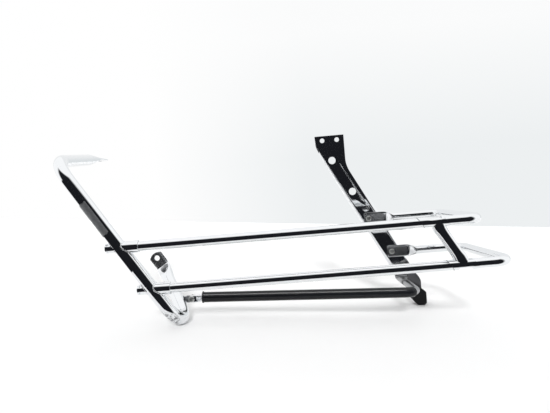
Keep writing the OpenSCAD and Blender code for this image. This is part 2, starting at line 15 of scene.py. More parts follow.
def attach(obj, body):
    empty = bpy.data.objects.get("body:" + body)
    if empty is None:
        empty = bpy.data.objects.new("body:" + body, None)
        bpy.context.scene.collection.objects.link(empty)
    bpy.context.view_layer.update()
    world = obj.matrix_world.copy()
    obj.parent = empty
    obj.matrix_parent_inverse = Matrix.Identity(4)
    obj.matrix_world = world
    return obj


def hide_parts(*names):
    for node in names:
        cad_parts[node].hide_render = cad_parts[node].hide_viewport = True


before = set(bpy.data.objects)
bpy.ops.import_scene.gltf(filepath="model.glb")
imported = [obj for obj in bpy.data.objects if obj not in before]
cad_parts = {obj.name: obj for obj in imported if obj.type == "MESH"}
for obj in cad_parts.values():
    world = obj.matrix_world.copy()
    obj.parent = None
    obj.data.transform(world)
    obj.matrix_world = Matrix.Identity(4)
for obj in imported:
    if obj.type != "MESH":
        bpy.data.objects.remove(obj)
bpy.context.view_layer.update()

bl_info = {
    "name": "Saddlebag Guard",
    "version": (1, 0, 0),
    "blender": (4, 5, 0),
    "location": "View3D > Sidebar > Guard",
    "description": "Builds the chrome tube work, bracket arm, sleeve and boot of a saddlebag guard",
    "category": "Add Mesh",
}

# The CAD origin lies between the two holes of the bracket arm's pad, on its back face.
ORIGIN = Vector((434.5, 264.9, 195.0))
UP, INBOARD, REARWARD = Vector((0, 0, 1)), Vector((0, 1, 0)), Vector((1, 0, 0))

# Front end of a rail from the hoop's axis
RAIL_START = 24.03
# Reach of the link's sleeves in front of the web's middle and behind it, and the gap at a joint
SLEEVE_FRONT, SLEEVE_REAR, JOINT_GAP = 27, 20, 0.4
# A ring of eight points drawn smooth comes out at 0.9024 of its cage radius
CAGE = 1 / 0.9024
# The loops' flat ends are this thick, and their round parts clear the arm's face by this gap
FLAT_T, FACE_GAP = 3.6, 0.4
# Middle of the arm at the upper rail, lower end of its straight sides, and shift of its tongue
ARM_X, FOOT_Z, TONGUE_SHIFT = 517.5, -145.0, 19
# The upper loop's bolt sits this far in front of the arm's middle
LOOP_BOLT_SHIFT = 5.5
# The clinch nut's height, and how far it sits behind the arm's middle
CLINCH_Z, CLINCH_SHIFT = 25.0, 4
# The strut's rear bolt: below the lower rail, in front of the arm's middle, through this thickness
BOLT_DROP, BOLT_SHIFT, STRUT_FLAT = 44, 4, 4.0
# The strut's axis at its front bolt
EYE_X, STRUT_Y, STRUT_Z = 108.0, 85.0, -121.4
# The flattened eye sits below that axis, with this half thickness, on a lug of this thickness
EYE_DROP, EYE_HALF, LUG_T = 3.0, 3.0, 4.0


# Settings


def millimetres(name, description, default, low=0.0, high=1000.0):
    return bpy.props.FloatProperty(
        name=name, description=description + ", in millimetres", default=default, min=low, max=high
    )


def degrees(name, description, default):
    return bpy.props.FloatProperty(
        name=name, description=description, default=math.radians(default), subtype="ANGLE"
    )


def paint(name, description, hex_code):
    return bpy.props.FloatVectorProperty(
        name=name,
        description=description,
        default=linear(hex_code),
        size=4,
        min=0.0,
        max=1.0,
        subtype="COLOR",
    )


def linear(hex_code):
    """Linear RGBA of an sRGB hex value such as E4E6E8."""
    out = []
    for i in (0, 2, 4):
        c = int(hex_code[i : i + 2], 16) / 255
        out.append(c / 12.92 if c <= 0.04045 else ((c + 0.055) / 1.055) ** 2.4)
    return (*out, 1.0)


class GUARD_PG_hoop(bpy.types.PropertyGroup):
    tube: millimetres("Tube", "Outer diameter of the hoop tube", 25.4)
    lean: degrees("Lean", "Lean of the hoop from upright", 32.8)
    up: millimetres("Above rail", "Straight run above the upper rail", 160.6)
    down: millimetres("Below rail", "Straight run below the upper rail", 140.04)
    top_bend: millimetres("Top bend", "Centre line radius of the top bend", 50.0)
    top_turn: degrees("Top turn", "Turn of the top bend", 83.4)
    top_leg: millimetres("Upper leg", "Round part of the upper leg", 139.0)
    low_bend: millimetres("Bottom bend", "Centre line radius of the bottom bend", 38.0)
    low_turn: degrees("Bottom turn", "Turn of the bottom bend", 139.4)
    low_leg: millimetres("Lower leg", "Round part of the lower leg", 82.0)
    film_from: millimetres("Film start", "Lower end of the film above the upper rail", 35.0)
    film_length: millimetres("Film length", "Length of the film on the hoop", 73.0)


class GUARD_PG_rails(bpy.types.PropertyGroup):
    tube: millimetres("Tube", "Outer diameter of the rails and loops", 19.0)
    wall: millimetres("Wall", "Wall of the rails and loops", 1.8)
    pitch: millimetres("Pitch", "Distance between the two rails", 83.0)
    socket: millimetres("Socket", "Outer diameter of the welded sockets", 23.6)
    socket_end: millimetres("Socket end", "End of a socket from the hoop's axis", 36.0)
    head: millimetres("Bolt head", "Diameter of the rail bolt heads", 18.6)
    boss_end: millimetres("Boss end", "Face of a boss from the hoop's axis", 22.5)
    link: millimetres("Link", "Middle of the link on the upper rail", 591.5)
    link_lean: degrees("Link lean", "Lean of the link's web", 30.4)
    joint_lean: degrees("Joint lean", "Lean of the joint faces", 32.8)
    sleeve: millimetres("Sleeve", "Outer diameter of the link's sleeves", 20.4)
    web: millimetres("Web", "Diameter of the link's web", 22.4)
    reach: millimetres("Loop reach", "From the web to a loop's inboard leg", 85.0)
    depth: millimetres("Loop depth", "Depth from a rail to the return run", 252.0)
    bend: millimetres("Loop bend", "Centre line radius of the loop bends", 30.0)


class GUARD_PG_bracket(bpy.types.PropertyGroup):
    plate: millimetres("Plate", "Thickness of the arm's plate", 3.0)
    lean: degrees("Lean", "Lean of the arm from upright", 27.7)
    width: millimetres("Width", "Flat width of the arm", 31.0)
    edge: millimetres("Edge radius", "Outer radius of the rolled edges", 6.0)
    flange: millimetres("Flange", "Depth of the side flanges", 13.0)
    panel: millimetres("Panel depth", "Depth of the pressed panel", 1.2)
    strut: millimetres("Strut", "Outer diameter of the strut tube", 15.9)
    sleeve_wall: millimetres("Sleeve wall", "Wall of the black sleeve", 2.4)
    sleeve_turn: bpy.props.FloatProperty(
        name="Sleeve turn",
        description="How far the sleeve follows the strut's rear bend, in degrees",
        default=40,
        min=5,
        max=80,
    )
    boot_round: millimetres("Boot edges", "Rounding of the boot's edges", 2.2)


class GUARD_PG_finish(bpy.types.PropertyGroup):
    chrome: paint("Chrome", "Colour of the chrome plate", "E9EBED")
    zinc: paint("Zinc", "Colour of the zinc plated fasteners", "C6C8C6")
    vinyl: paint("Vinyl", "Colour of the strut's sleeve", "0C0D0F")
    rubber: paint("Rubber", "Colour of the boot", "0B0B0D")
    film: paint("Film", "Colour of the protective film", "A6A8AB")
    table: paint("Table", "Colour of the table", "FAFAFA")
    # The wall's colour where its painted shade is deepest, to the right and low down; elsewhere it pales to
    # white
    wall: paint("Wall", "Colour of the wall", "EDF0F1")


# Mesh helpers


def guard_point(p):
    return (Vector(p) - ORIGIN) / 1000


def mesh_piece(name, points, faces, material, sharp=32, nodes=()):
    """A smooth shaded object riding on the root body, whose edges past the sharp angle stay crisp."""
    mesh = bpy.data.meshes.new(name)
    mesh.from_pydata([guard_point(p) for p in points], [], faces)
    mesh.materials.append(material)
    piece = bpy.data.objects.new(name, mesh)
    bpy.context.scene.collection.objects.link(piece)
    tidy_mesh(piece, sharp)
    return settle(piece, nodes)


def settle(piece, nodes=()):
    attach(piece, "root")
    if nodes:
        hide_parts(*nodes)
    return piece


def tidy_mesh(piece, sharp):
    work = bmesh.new()
    work.from_mesh(piece.data)
    bmesh.ops.remove_doubles(work, verts=work.verts, dist=1e-6)
    bmesh.ops.recalc_face_normals(work, faces=work.faces)
    limit = math.radians(sharp)
    for face in work.faces:
        face.smooth = True
    for edge in work.edges:
        edge.smooth = edge.is_manifold and edge.calc_face_angle(0) < limit
    work.to_mesh(piece.data)
    work.free()


def soften(piece, width, segments=2, angle=32):
    """Rounds the crisp edges of a piece."""
    bevel = piece.modifiers.new("rounded edges", "BEVEL")
    bevel.width = width / 1000
    bevel.segments = segments
    bevel.limit_method = "ANGLE"
    bevel.angle_limit = math.radians(angle)
    bevel.harden_normals = True
    return piece


def baked(piece, sharp=32):
    """Applies the modifiers of a piece to its own mesh."""
    graph = bpy.context.evaluated_depsgraph_get()
    made = bpy.data.meshes.new_from_object(piece.evaluated_get(graph))
    piece.modifiers.clear()
    piece.data = made
    tidy_mesh(piece, sharp)
    return piece


def rod(name, start, end, radius, sides=48):
    """A plain cylinder between two points, for cutting holes."""
    start, end = guard_point(start), guard_point(end)
    axis = end - start
    work = bmesh.new()
    bmesh.ops.create_cone(
        work,
        cap_ends=True,
        segments=sides,
        radius1=radius / 1000,
        radius2=radius / 1000,
        depth=axis.length,
        matrix=Matrix.Translation((start + end) / 2) @ axis.to_track_quat("Z", "Y").to_matrix().to_4x4(),
    )
    mesh = bpy.data.meshes.new(name)
    work.to_mesh(mesh)
    work.free()
    piece = bpy.data.objects.new(name, mesh)
    bpy.context.scene.collection.objects.link(piece)
    return piece


def drill(piece, holes, sharp=32):
    """Cuts round holes, each given as start, end and radius, and keeps the result as the mesh."""
    cutters = [rod("cutter", *hole) for hole in holes]
    for cutter in cutters:
        cut = piece.modifiers.new("hole", "BOOLEAN")
        cut.operation = "DIFFERENCE"
        cut.solver = "EXACT"
        cut.object = cutter
    baked(piece, sharp)
    for cutter in cutters:
        bpy.data.objects.remove(cutter)
    return piece


def bridge(rings, closed=True, cap_start=False, cap_end=False):
    """Points and faces of a skin over rings of equal length."""
    count = len(rings[0])
    points = [p for ring in rings for p in ring]
    faces = []
    last = count if closed else count - 1
    for i in range(len(rings) - 1):
        a, b = i * count, (i + 1) * count
        for k in range(last):
            m = (k + 1) % count
            faces.append((a + k, a + m, b + m, b + k))
    if cap_start:
        faces.append(tuple(range(count)))
    if cap_end:
        faces.append(tuple(range(len(points) - count, len(points))))
    return points, faces


class Station:
    """A place on a tube's axis: distance along it, point, heading and the side it bends to."""

    def __init__(self, along, point, heading, side):
        self.along, self.point, self.heading, self.side = along, point, heading, side


def walk(point, heading, side, moves):
    """Follows a tube's axis.

    ("run", length, steps) goes straight on and ("bend", radius, degrees) turns to the side.
    """
    point, heading, side = Vector(point), Vector(heading), Vector(side)
    along, out = 0.0, [Station(0.0, point, heading, side)]
    for kind, size, more in moves:
        if kind == "run":
            for k in range(1, more + 1):
                out.append(
                    Station(along + size * k / more, point + heading * size * k / more, heading, side)
                )
            along, point = along + size, point + heading * size
        else:
            turn = math.radians(more)
            steps = max(2, round(more / 2.5))
            centre = point + side * size
            for k in range(1, steps + 1):
                a = turn * k / steps
                ahead = heading * math.cos(a) + side * math.sin(a)
                inwards = side * math.cos(a) - heading * math.sin(a)
                out.append(Station(along + size * a, centre - inwards * size, ahead, inwards))
            along += size * turn
            point, heading, side = out[-1].point, out[-1].heading, out[-1].side
    return out


def ease(t):
    t = min(1.0, max(0.0, t))
    return t * t * (3 - 2 * t)


def mix(a, b, t):
    return a + (b - a) * t


def oval(centre, wide, thick, half_wide, half_thick, power, count=48):
    """A ring of points, round at power 2 and nearly square at a high power."""
    ring = []
    for k in range(count):
        c, s = math.cos(2 * math.pi * k / count), math.sin(2 * math.pi * k / count)
        x = math.copysign(abs(c) ** (2 / power), c) * half_wide
        y = math.copysign(abs(s) ** (2 / power), s) * half_thick
        ring.append(centre + wide * x + thick * y)
    return ring


def circle_ring(centre, across, other, radius, count=48):
    return oval(centre, across, other, radius, radius, 2, count)


def square_to(vector, axis):
    """The part of a vector at right angles to an axis, with length 1."""
    return (vector - axis * vector.dot(axis)).normalized()


def bead(name, curve, radius, material, ripples):
    """A weld bead along a closed curve, with the low ripples that the torch leaves."""
    count, rings = len(curve), []
    for k, point in enumerate(curve):
        ahead = (curve[(k + 1) % count] - curve[k - 1]).normalized()
        out = square_to(point - sum(curve, Vector()) / count, ahead)
        swell = radius * (1 + 0.10 * math.cos(2 * math.pi * ripples * k / count))
        rings.append(circle_ring(point, out, ahead.cross(out), swell, 12))
    rings.append(rings[0])
    points, faces = bridge(rings)
    return mesh_piece(name, points, faces, material, sharp=80)


def hexagon(flat, angle):
    """Radius of a hexagon at an angle, given half its width across the flats."""
    return flat / math.cos((angle % (math.pi / 3)) - math.pi / 6)


def slab(outline, x, z, front, back):
    """Points and faces of a plate between two depths, whose outline is (x, z) pairs about a place."""
    count = len(outline)
    points = [Vector((x + a, y, z + b)) for y in (front, back) for a, b in outline]
    faces = [tuple(range(count)), tuple(range(2 * count - 1, count - 1, -1))]
    faces += [(k, count + k, count + (k + 1) % count, (k + 1) % count) for k in range(count)]
    return points, faces


def lathe(profile, origin, axis, sides=48):
    """Points and faces of a profile of (along, radius) pairs turned about an axis."""
    axis = Vector(axis).normalized()
    across = square_to(UP if abs(axis.z) < 0.9 else REARWARD, axis)
    other = axis.cross(across)
    rings = [
        circle_ring(Vector(origin) + axis * along, across, other, max(radius, 0.01), sides)
        for along, radius in profile
    ]
    return bridge(rings, cap_start=profile[0][1] > 0, cap_end=profile[-1][1] > 0)


# Materials


def add_node(tree, kind, props=None, inputs=None, links=()):
    """Adds one node, sets its properties and sockets, and links (source, output, socket) into it."""
    made = tree.nodes.new(kind)
    for key, value in (props or {}).items():
        setattr(made, key, value)
    for key, value in (inputs or {}).items():
        made.inputs[key].default_value = value
    for source, output, socket in links:
        tree.links.new(source.outputs[output], made.inputs[socket])
    return made


def new_material(name):
    material = bpy.data.materials.new(name)
    material.use_nodes = True
    tree = material.node_tree
    tree.nodes.clear()
    shader = add_node(tree, "ShaderNodeBsdfPrincipled")
    add_node(tree, "ShaderNodeOutputMaterial", links=[(shader, "BSDF", "Surface")])
    place = add_node(tree, "ShaderNodeTexCoord")
    return material, tree, shader, place


def chrome_plate(finish, title):
    """Decorative chrome over buffed steel tube: mirror bright with a trace of polishing haze and
    handling marks, so reflections stay sharp but their edges waver."""
    material, tree, shader, place = new_material(title)
    shader.inputs["Base Color"].default_value = finish.chrome
    shader.inputs["Metallic"].default_value = 1.0
    # Handling haze in patches about 40 mm across
    haze = add_node(
        tree,
        "ShaderNodeTexNoise",
        inputs={"Scale": 25.0, "Detail": 4.0, "Roughness": 0.6},
        links=[(place, "Object", "Vector")],
    )
    rough = add_node(
        tree,
        "ShaderNodeMapRange",
        inputs={"From Min": 0.35, "From Max": 0.75, "To Min": 0.03, "To Max": 0.09},
        links=[(haze, "Fac", "Value")],
    )
    tree.links.new(rough.outputs["Result"], shader.inputs["Roughness"])
    # The buffed steel is never quite flat: waves about 12 mm apart and a few microns high
    waves = add_node(
        tree,
        "ShaderNodeTexNoise",
        inputs={"Scale": 80.0, "Detail": 2.0},
        links=[(place, "Object", "Vector")],
    )
    sizes = {"Strength": 0.35, "Distance": 0.00006}
    bump = add_node(tree, "ShaderNodeBump", inputs=sizes, links=[(waves, "Fac", "Height")])
    tree.links.new(bump.outputs["Normal"], shader.inputs["Normal"])
    return material, tree, shader, place, rough, bump


def bright_chrome_plate(finish):
    """Bright plate without wear, for tubes, sockets, casting and bolt heads."""
    return chrome_plate(finish, "bright chrome plate on buffed steel")[0]


def worn_chrome_plate_with_painted_shade(finish, title, scraped, pressed, lean=0.0):
    """Bright plate with grey scuffs where it scrapes the ground, and a dull satin skin on the places
    that were pressed, where no buffing wheel reaches, painted darker: that darker colour is painted
    shade, standing in for the dim reflections these places show. Each place is a point, a reach and a
    share."""
    material, tree, shader, place, rough, bump = chrome_plate(finish, title)
    worn = None
    for places in (scraped, pressed):
        for point, reach, share in places:
            away = add_node(
                tree,
                "ShaderNodeVectorMath",
                props={"operation": "DISTANCE"},
                links=[(place, "Object", "Vector")],
            )
            away.inputs[1].default_value = point
            part = add_node(
                tree,
                "ShaderNodeMapRange",
                inputs={"From Min": reach * 0.8, "From Max": reach, "To Min": share, "To Max": 0.0},
                links=[(away, "Value", "Value")],
            )
            if places is scraped:
                # Scratches 1 to 3 mm wide
                marks = add_node(
                    tree,
                    "ShaderNodeTexNoise",
                    inputs={"Scale": 230.0, "Detail": 6.0, "Roughness": 0.7, "Distortion": 0.6},
                    links=[(place, "Object", "Vector")],
                )
                spots = add_node(
                    tree,
                    "ShaderNodeMapRange",
                    inputs={"From Min": 0.48, "From Max": 0.56, "To Min": 0.0, "To Max": 1.0},
                    links=[(marks, "Fac", "Value")],
                )
                links = [(part, "Result", 0), (spots, "Result", 1)]
                part = add_node(tree, "ShaderNodeMath", props={"operation": "MULTIPLY"}, links=links)
            if worn:
                links = [(worn, worn.outputs[0].name, 0), (part, part.outputs[0].name, 1)]
                worn = add_node(tree, "ShaderNodeMath", props={"operation": "MAXIMUM"}, links=links)
            else:
                worn = part
    out = worn.outputs[0].name
    # Mix towards grey: real scuffs on the scraped places, painted shade on the dull places
    tone = add_node(tree, "ShaderNodeMix", props={"data_type": "RGBA"}, links=[(worn, out, "Factor")])
    tone.inputs["A"].default_value = finish.chrome
    tone.inputs["B"].default_value = linear("4C4C4F")
    tree.links.new(tone.outputs["Result"], shader.inputs["Base Color"])
    dull = add_node(
        tree,
        "ShaderNodeMath",
        props={"operation": "MULTIPLY_ADD"},
        inputs={1: 0.36},
        links=[(worn, out, 0), (rough, "Result", 2)],
    )
    tree.links.new(dull.outputs["Value"], shader.inputs["Roughness"])
    if lean:
        # The pressed face leans out at its top, so it mirrors the dark room
        # and catches the rails as streaks
        split = add_node(tree, "ShaderNodeSeparateXYZ", links=[(place, "Object", "Vector")])
        slope = add_node(
            tree,
            "ShaderNodeBump",
            inputs={"Strength": 1.0, "Distance": math.tan(math.radians(lean))},
            links=[(split, "Z", "Height"), (bump, "Normal", "Normal")],
        )
        tree.links.new(slope.outputs["Normal"], shader.inputs["Normal"])
    return material


def barrelled_zinc_plate(finish):
    """Zinc plated fasteners, tumbled in a barrel: silver grey with a soft cloudy sheen."""
    material, tree, shader, place = new_material("zinc plated steel, barrel finished")
    shader.inputs["Metallic"].default_value = 1.0
    cloud = add_node(
        tree,
        "ShaderNodeTexNoise",
        inputs={"Scale": 350.0, "Detail": 5.0},
        links=[(place, "Object", "Vector")],
    )
    tone = add_node(tree, "ShaderNodeMix", props={"data_type": "RGBA"}, links=[(cloud, "Fac", "Factor")])
    tone.inputs["A"].default_value = linear("9FA19F")
    tone.inputs["B"].default_value = finish.zinc
    tree.links.new(tone.outputs["Result"], shader.inputs["Base Color"])
    rough = add_node(
        tree,
        "ShaderNodeMapRange",
        inputs={"From Min": 0.3, "From Max": 0.7, "To Min": 0.24, "To Max": 0.40},
        links=[(cloud, "Fac", "Value")],
    )
    tree.links.new(rough.outputs["Result"], shader.inputs["Roughness"])
    bump = add_node(
        tree,
        "ShaderNodeBump",
        inputs={"Strength": 0.3, "Distance": 0.00005},
        links=[(cloud, "Fac", "Height")],
    )
    tree.links.new(bump.outputs["Normal"], shader.inputs["Normal"])
    return material


def extruded_vinyl(finish):
    """Soft PVC sleeve drawn from a die: satin black with faint lines along it."""
    material, tree, shader, place = new_material("flexible PVC, extruded")
    spread = add_node(tree, "ShaderNodeMapping", links=[(place, "Object", "Vector")])
    # Die lines about 1.2 mm apart round the tube and drawn out along it
    spread.inputs["Scale"].default_value = (6.0, 800.0, 800.0)
    lines = add_node(
        tree,
        "ShaderNodeTexNoise",
        inputs={"Scale": 1.0, "Detail": 3.0},
        links=[(spread, "Vector", "Vector")],
    )
    tone = add_node(tree, "ShaderNodeMix", props={"data_type": "RGBA"}, links=[(lines, "Fac", "Factor")])
    tone.inputs["A"].default_value = finish.vinyl
    tone.inputs["B"].default_value = linear("16171A")
    tree.links.new(tone.outputs["Result"], shader.inputs["Base Color"])
    rough = add_node(
        tree,
        "ShaderNodeMapRange",
        inputs={"From Min": 0.3, "From Max": 0.7, "To Min": 0.14, "To Max": 0.25},
        links=[(lines, "Fac", "Value")],
    )
    tree.links.new(rough.outputs["Result"], shader.inputs["Roughness"])
    shader.inputs["Specular IOR Level"].default_value = 0.22
    bump = add_node(
        tree,
        "ShaderNodeBump",
        inputs={"Strength": 0.25, "Distance": 0.00008},
        links=[(lines, "Fac", "Height")],
    )
    tree.links.new(bump.outputs["Normal"], shader.inputs["Normal"])
    return material


def moulded_rubber(finish):
    """Moulded nitrile rubber boot: dull black with the fine grain of a blasted mould."""
    material, tree, shader, place = new_material("nitrile rubber, moulded")
    # Mould grain of about 0.8 mm, coarser than the real 0.2 mm so that it shows
    grain = add_node(
        tree,
        "ShaderNodeTexNoise",
        inputs={"Scale": 1200.0, "Detail": 3.0},
        links=[(place, "Object", "Vector")],
    )
    dust = add_node(
        tree,
        "ShaderNodeTexNoise",
        inputs={"Scale": 60.0, "Detail": 4.0},
        links=[(place, "Object", "Vector")],
    )
    patch = add_node(
        tree,
        "ShaderNodeMapRange",
        inputs={"From Min": 0.45, "From Max": 0.8, "To Min": 0.0, "To Max": 0.35},
        links=[(dust, "Fac", "Value")],
    )
    tone = add_node(tree, "ShaderNodeMix", props={"data_type": "RGBA"}, links=[(patch, "Result", "Factor")])
    tone.inputs["A"].default_value = finish.rubber
    tone.inputs["B"].default_value = linear("1C1C1F")
    tree.links.new(tone.outputs["Result"], shader.inputs["Base Color"])
    shader.inputs["Roughness"].default_value = 0.55
    shader.inputs["Specular IOR Level"].default_value = 0.25
    bump = add_node(
        tree,
        "ShaderNodeBump",
        inputs={"Strength": 0.5, "Distance": 0.00012},
        links=[(grain, "Fac", "Height")],
    )
    tree.links.new(bump.outputs["Normal"], shader.inputs["Normal"])
    return material


def frosted_film(finish):
    """Hazy protective film stuck on chrome: the plate under it shows only as a soft satin sheen."""
    material, tree, shader, place = new_material("frosted PVC film over chrome")
    shader.inputs["Metallic"].default_value = 0.85
    streaks = add_node(
        tree,
        "ShaderNodeTexNoise",
        inputs={"Scale": 140.0, "Detail": 4.0},
        links=[(place, "Object", "Vector")],
    )
    tone = add_node(tree, "ShaderNodeMix", props={"data_type": "RGBA"}, links=[(streaks, "Fac", "Factor")])
    tone.inputs["A"].default_value = linear("8A8C8F")
    tone.inputs["B"].default_value = finish.film
    tree.links.new(tone.outputs["Result"], shader.inputs["Base Color"])
    rough = add_node(
        tree,
        "ShaderNodeMapRange",
        inputs={"From Min": 0.3, "From Max": 0.7, "To Min": 0.40, "To Max": 0.54},
        links=[(streaks, "Fac", "Value")],
    )
    tree.links.new(rough.outputs["Result"], shader.inputs["Roughness"])
    bump = add_node(
        tree,
        "ShaderNodeBump",
        inputs={"Strength": 0.3, "Distance": 0.00015},
        links=[(streaks, "Fac", "Height")],
    )
    tree.links.new(bump.outputs["Normal"], shader.inputs["Normal"])
    return material


# Materials made so far
MADE = {}
# Worn places of the pieces, and dull places painted darker as painted shade, each a point, a reach in
# metres and a share
WORN_AND_PAINTED_SHADE_PLACES = {}


def material_of(name):
    """The material made for a finish, made on first use."""
    finish = bpy.context.scene.guard_finish
    # The arm's tongue, the hoop's tab, the loops' flat ends and the strut's eye and rear plate get painted
    # shade; the hoop's foot gets real scuffs
    makers = {
        "chrome": lambda: bright_chrome_plate(finish),
        "arm": lambda: worn_chrome_plate_with_painted_shade(
            finish,
            "bright chrome plate, pressed arm",
            [],
            [WORN_AND_PAINTED_SHADE_PLACES["tongue"]],
            3.4,
        ),
        "hoop": lambda: worn_chrome_plate_with_painted_shade(
            finish, "bright chrome plate, scuffed foot of the hoop", [WORN_AND_PAINTED_SHADE_PLACES["foot"]], [WORN_AND_PAINTED_SHADE_PLACES["tab"]]
        ),
        "loops": lambda: worn_chrome_plate_with_painted_shade(
            finish, "bright chrome plate, loops with dull ends", [], [WORN_AND_PAINTED_SHADE_PLACES["upper"], WORN_AND_PAINTED_SHADE_PLACES["lower"]]
        ),
        "strut": lambda: worn_chrome_plate_with_painted_shade(
            finish,
            "bright chrome plate, dull at the rear of the strut",
            [],
            [WORN_AND_PAINTED_SHADE_PLACES["eye"], WORN_AND_PAINTED_SHADE_PLACES["plate"]],
        ),
        "zinc": lambda: barrelled_zinc_plate(finish),
        "sleeve": lambda: extruded_vinyl(finish),
        "boot": lambda: moulded_rubber(finish),
        "film": lambda: frosted_film(finish),
    }
    if name not in MADE:
        MADE[name] = makers[name]()
    return MADE[name]


# Places on the guard


def hoop_heading():
    lean = bpy.context.scene.guard_hoop.lean
    return Vector((-math.sin(lean), 0, math.cos(lean)))


def hoop_x(z):
    return -z * math.tan(bpy.context.scene.guard_hoop.lean)


def link_x(z):
    rails = bpy.context.scene.guard_rails
    return rails.link - z * math.tan(rails.link_lean)


def arm_x(z):
    return ARM_X - z * math.tan(bpy.context.scene.guard_bracket.lean)


def arm_face():
    """Y of the arm's outboard face."""
    rails = bpy.context.scene.guard_rails
    return rails.depth + rails.tube / 2 + FACE_GAP


def rail_heights():
    return (("upper", 0.0), ("lower", -bpy.context.scene.guard_rails.pitch))


def scuffed_place():
    """Where the front of the hoop's bottom bend has scraped the ground."""
    hoop = bpy.context.scene.guard_hoop
    down = hoop_heading() * -(hoop.down + 0.55 * hoop.low_bend)
    outward = INBOARD.cross(hoop_heading()) * -hoop.tube / 2
    return down + outward + INBOARD * 8


# Pieces


class GUARD_OT_hoop(bpy.types.Operator):
    """Front hoop: one tube bent twice and pinched flat at both ends"""

    bl_idname = "guard.hoop"
    bl_label = "Front hoop"

    def execute(self, context):
        hoop = context.scene.guard_hoop
        up, side = hoop_heading(), INBOARD
        across = side.cross(up)
        pinch_t, top_w, tab_w, top_flat, tab = 4.4, 34.0, 30.0, 40.0, 33.0
        upper = walk(
            (0, 0, 0),
            up,
            side,
            [
                ("run", hoop.up, 8),
                ("bend", hoop.top_bend, math.degrees(hoop.top_turn)),
                ("run", hoop.top_leg, 6),
                ("run", 60.0 - 1.2, 24),
                ("bend", 20.0, 90 - math.degrees(hoop.top_turn)),
                ("run", top_flat - 1.2 - 17.0, 4),
                ("run", 16.9, 24),
            ],
        )
        crease = 7.0
        cut = crease * math.tan(math.radians(20.3))
        lower = walk(
            (0, 0, 0),
            -up,
            side,
            [
                ("run", hoop.down, 8),
                ("bend", hoop.low_bend, math.degrees(hoop.low_turn)),
                ("run", hoop.low_leg, 6),
                ("run", 43.0 - cut, 20),
                ("bend", crease, 180 - math.degrees(hoop.low_turn)),
                ("run", tab - cut - 14.0, 4),
                ("run", 13.9, 24),
            ],
        )
        top_round = hoop.up + hoop.top_bend * hoop.top_turn + hoop.top_leg
        low_round = hoop.down + hoop.low_bend * hoop.low_turn + hoop.low_leg
        radius = hoop.tube / 2
        rings = []
        for s in upper:
            flat = ease((s.along - top_round) / 62)
            left = upper[-1].along - s.along + 0.1
            tip = min(top_w / 2, math.sqrt(max(0.0, 26.0**2 - max(0.0, 26.0 - left) ** 2)))
            wide_to = mix(across, REARWARD, ease((s.along - hoop.up) / (hoop.top_bend * hoop.top_turn)))
            wide = square_to(wide_to, s.heading)
            half = mix(radius, tip, flat)
            rings.append(
                oval(
                    s.point,
                    wide,
                    s.heading.cross(wide),
                    half,
                    mix(radius, pinch_t / 2, flat),
                    mix(2, 5, flat),
                )
            )
        back = []
        for s in lower[1:]:
            flat = ease((s.along - low_round) / 42)
            left = lower[-1].along - s.along + 0.1
            tip = min(tab_w / 2, math.sqrt(max(0.0, 22.0**2 - max(0.0, 22.0 - left) ** 2)))
            heading = -s.heading
            wide = square_to(across, heading)
            half = mix(radius, tip, flat)
            back.append(
                oval(
                    s.point,
                    wide,
                    heading.cross(wide),
                    half,
                    mix(radius, pinch_t / 2, flat),
                    mix(2, 5, flat),
                )
            )
        points, faces = bridge(back[::-1] + rings, cap_start=True, cap_end=True)
        tab_end = lower[-1].point - up * 12.0
        # The tab is dull and painted darker, a painted reflection of the dim room it faces
        WORN_AND_PAINTED_SHADE_PLACES["tab"] = (guard_point(tab_end), 0.024, 0.6)
        WORN_AND_PAINTED_SHADE_PLACES["foot"] = (guard_point(scuffed_place()), 0.026, 0.85)
        piece = mesh_piece(
            "hoop_tube",
            points,
            faces,
            material_of("hoop"),
            sharp=50,
            nodes=["front_hoop"],
        )
        tip = upper[-1].point - INBOARD * (top_w / 2)
        drill(
            piece,
            [(tip - UP * 20, tip + UP * 20, 5.5), (tab_end - side * 20, tab_end + side * 20, 6.0)],
            sharp=50,
        )
        soften(piece, 0.5, angle=50)
        return {"FINISHED"}


# The film starts behind the hoop on its left, crosses the front and stops right of its middle
FILM_LEFT, FILM_RIGHT = -249, -69


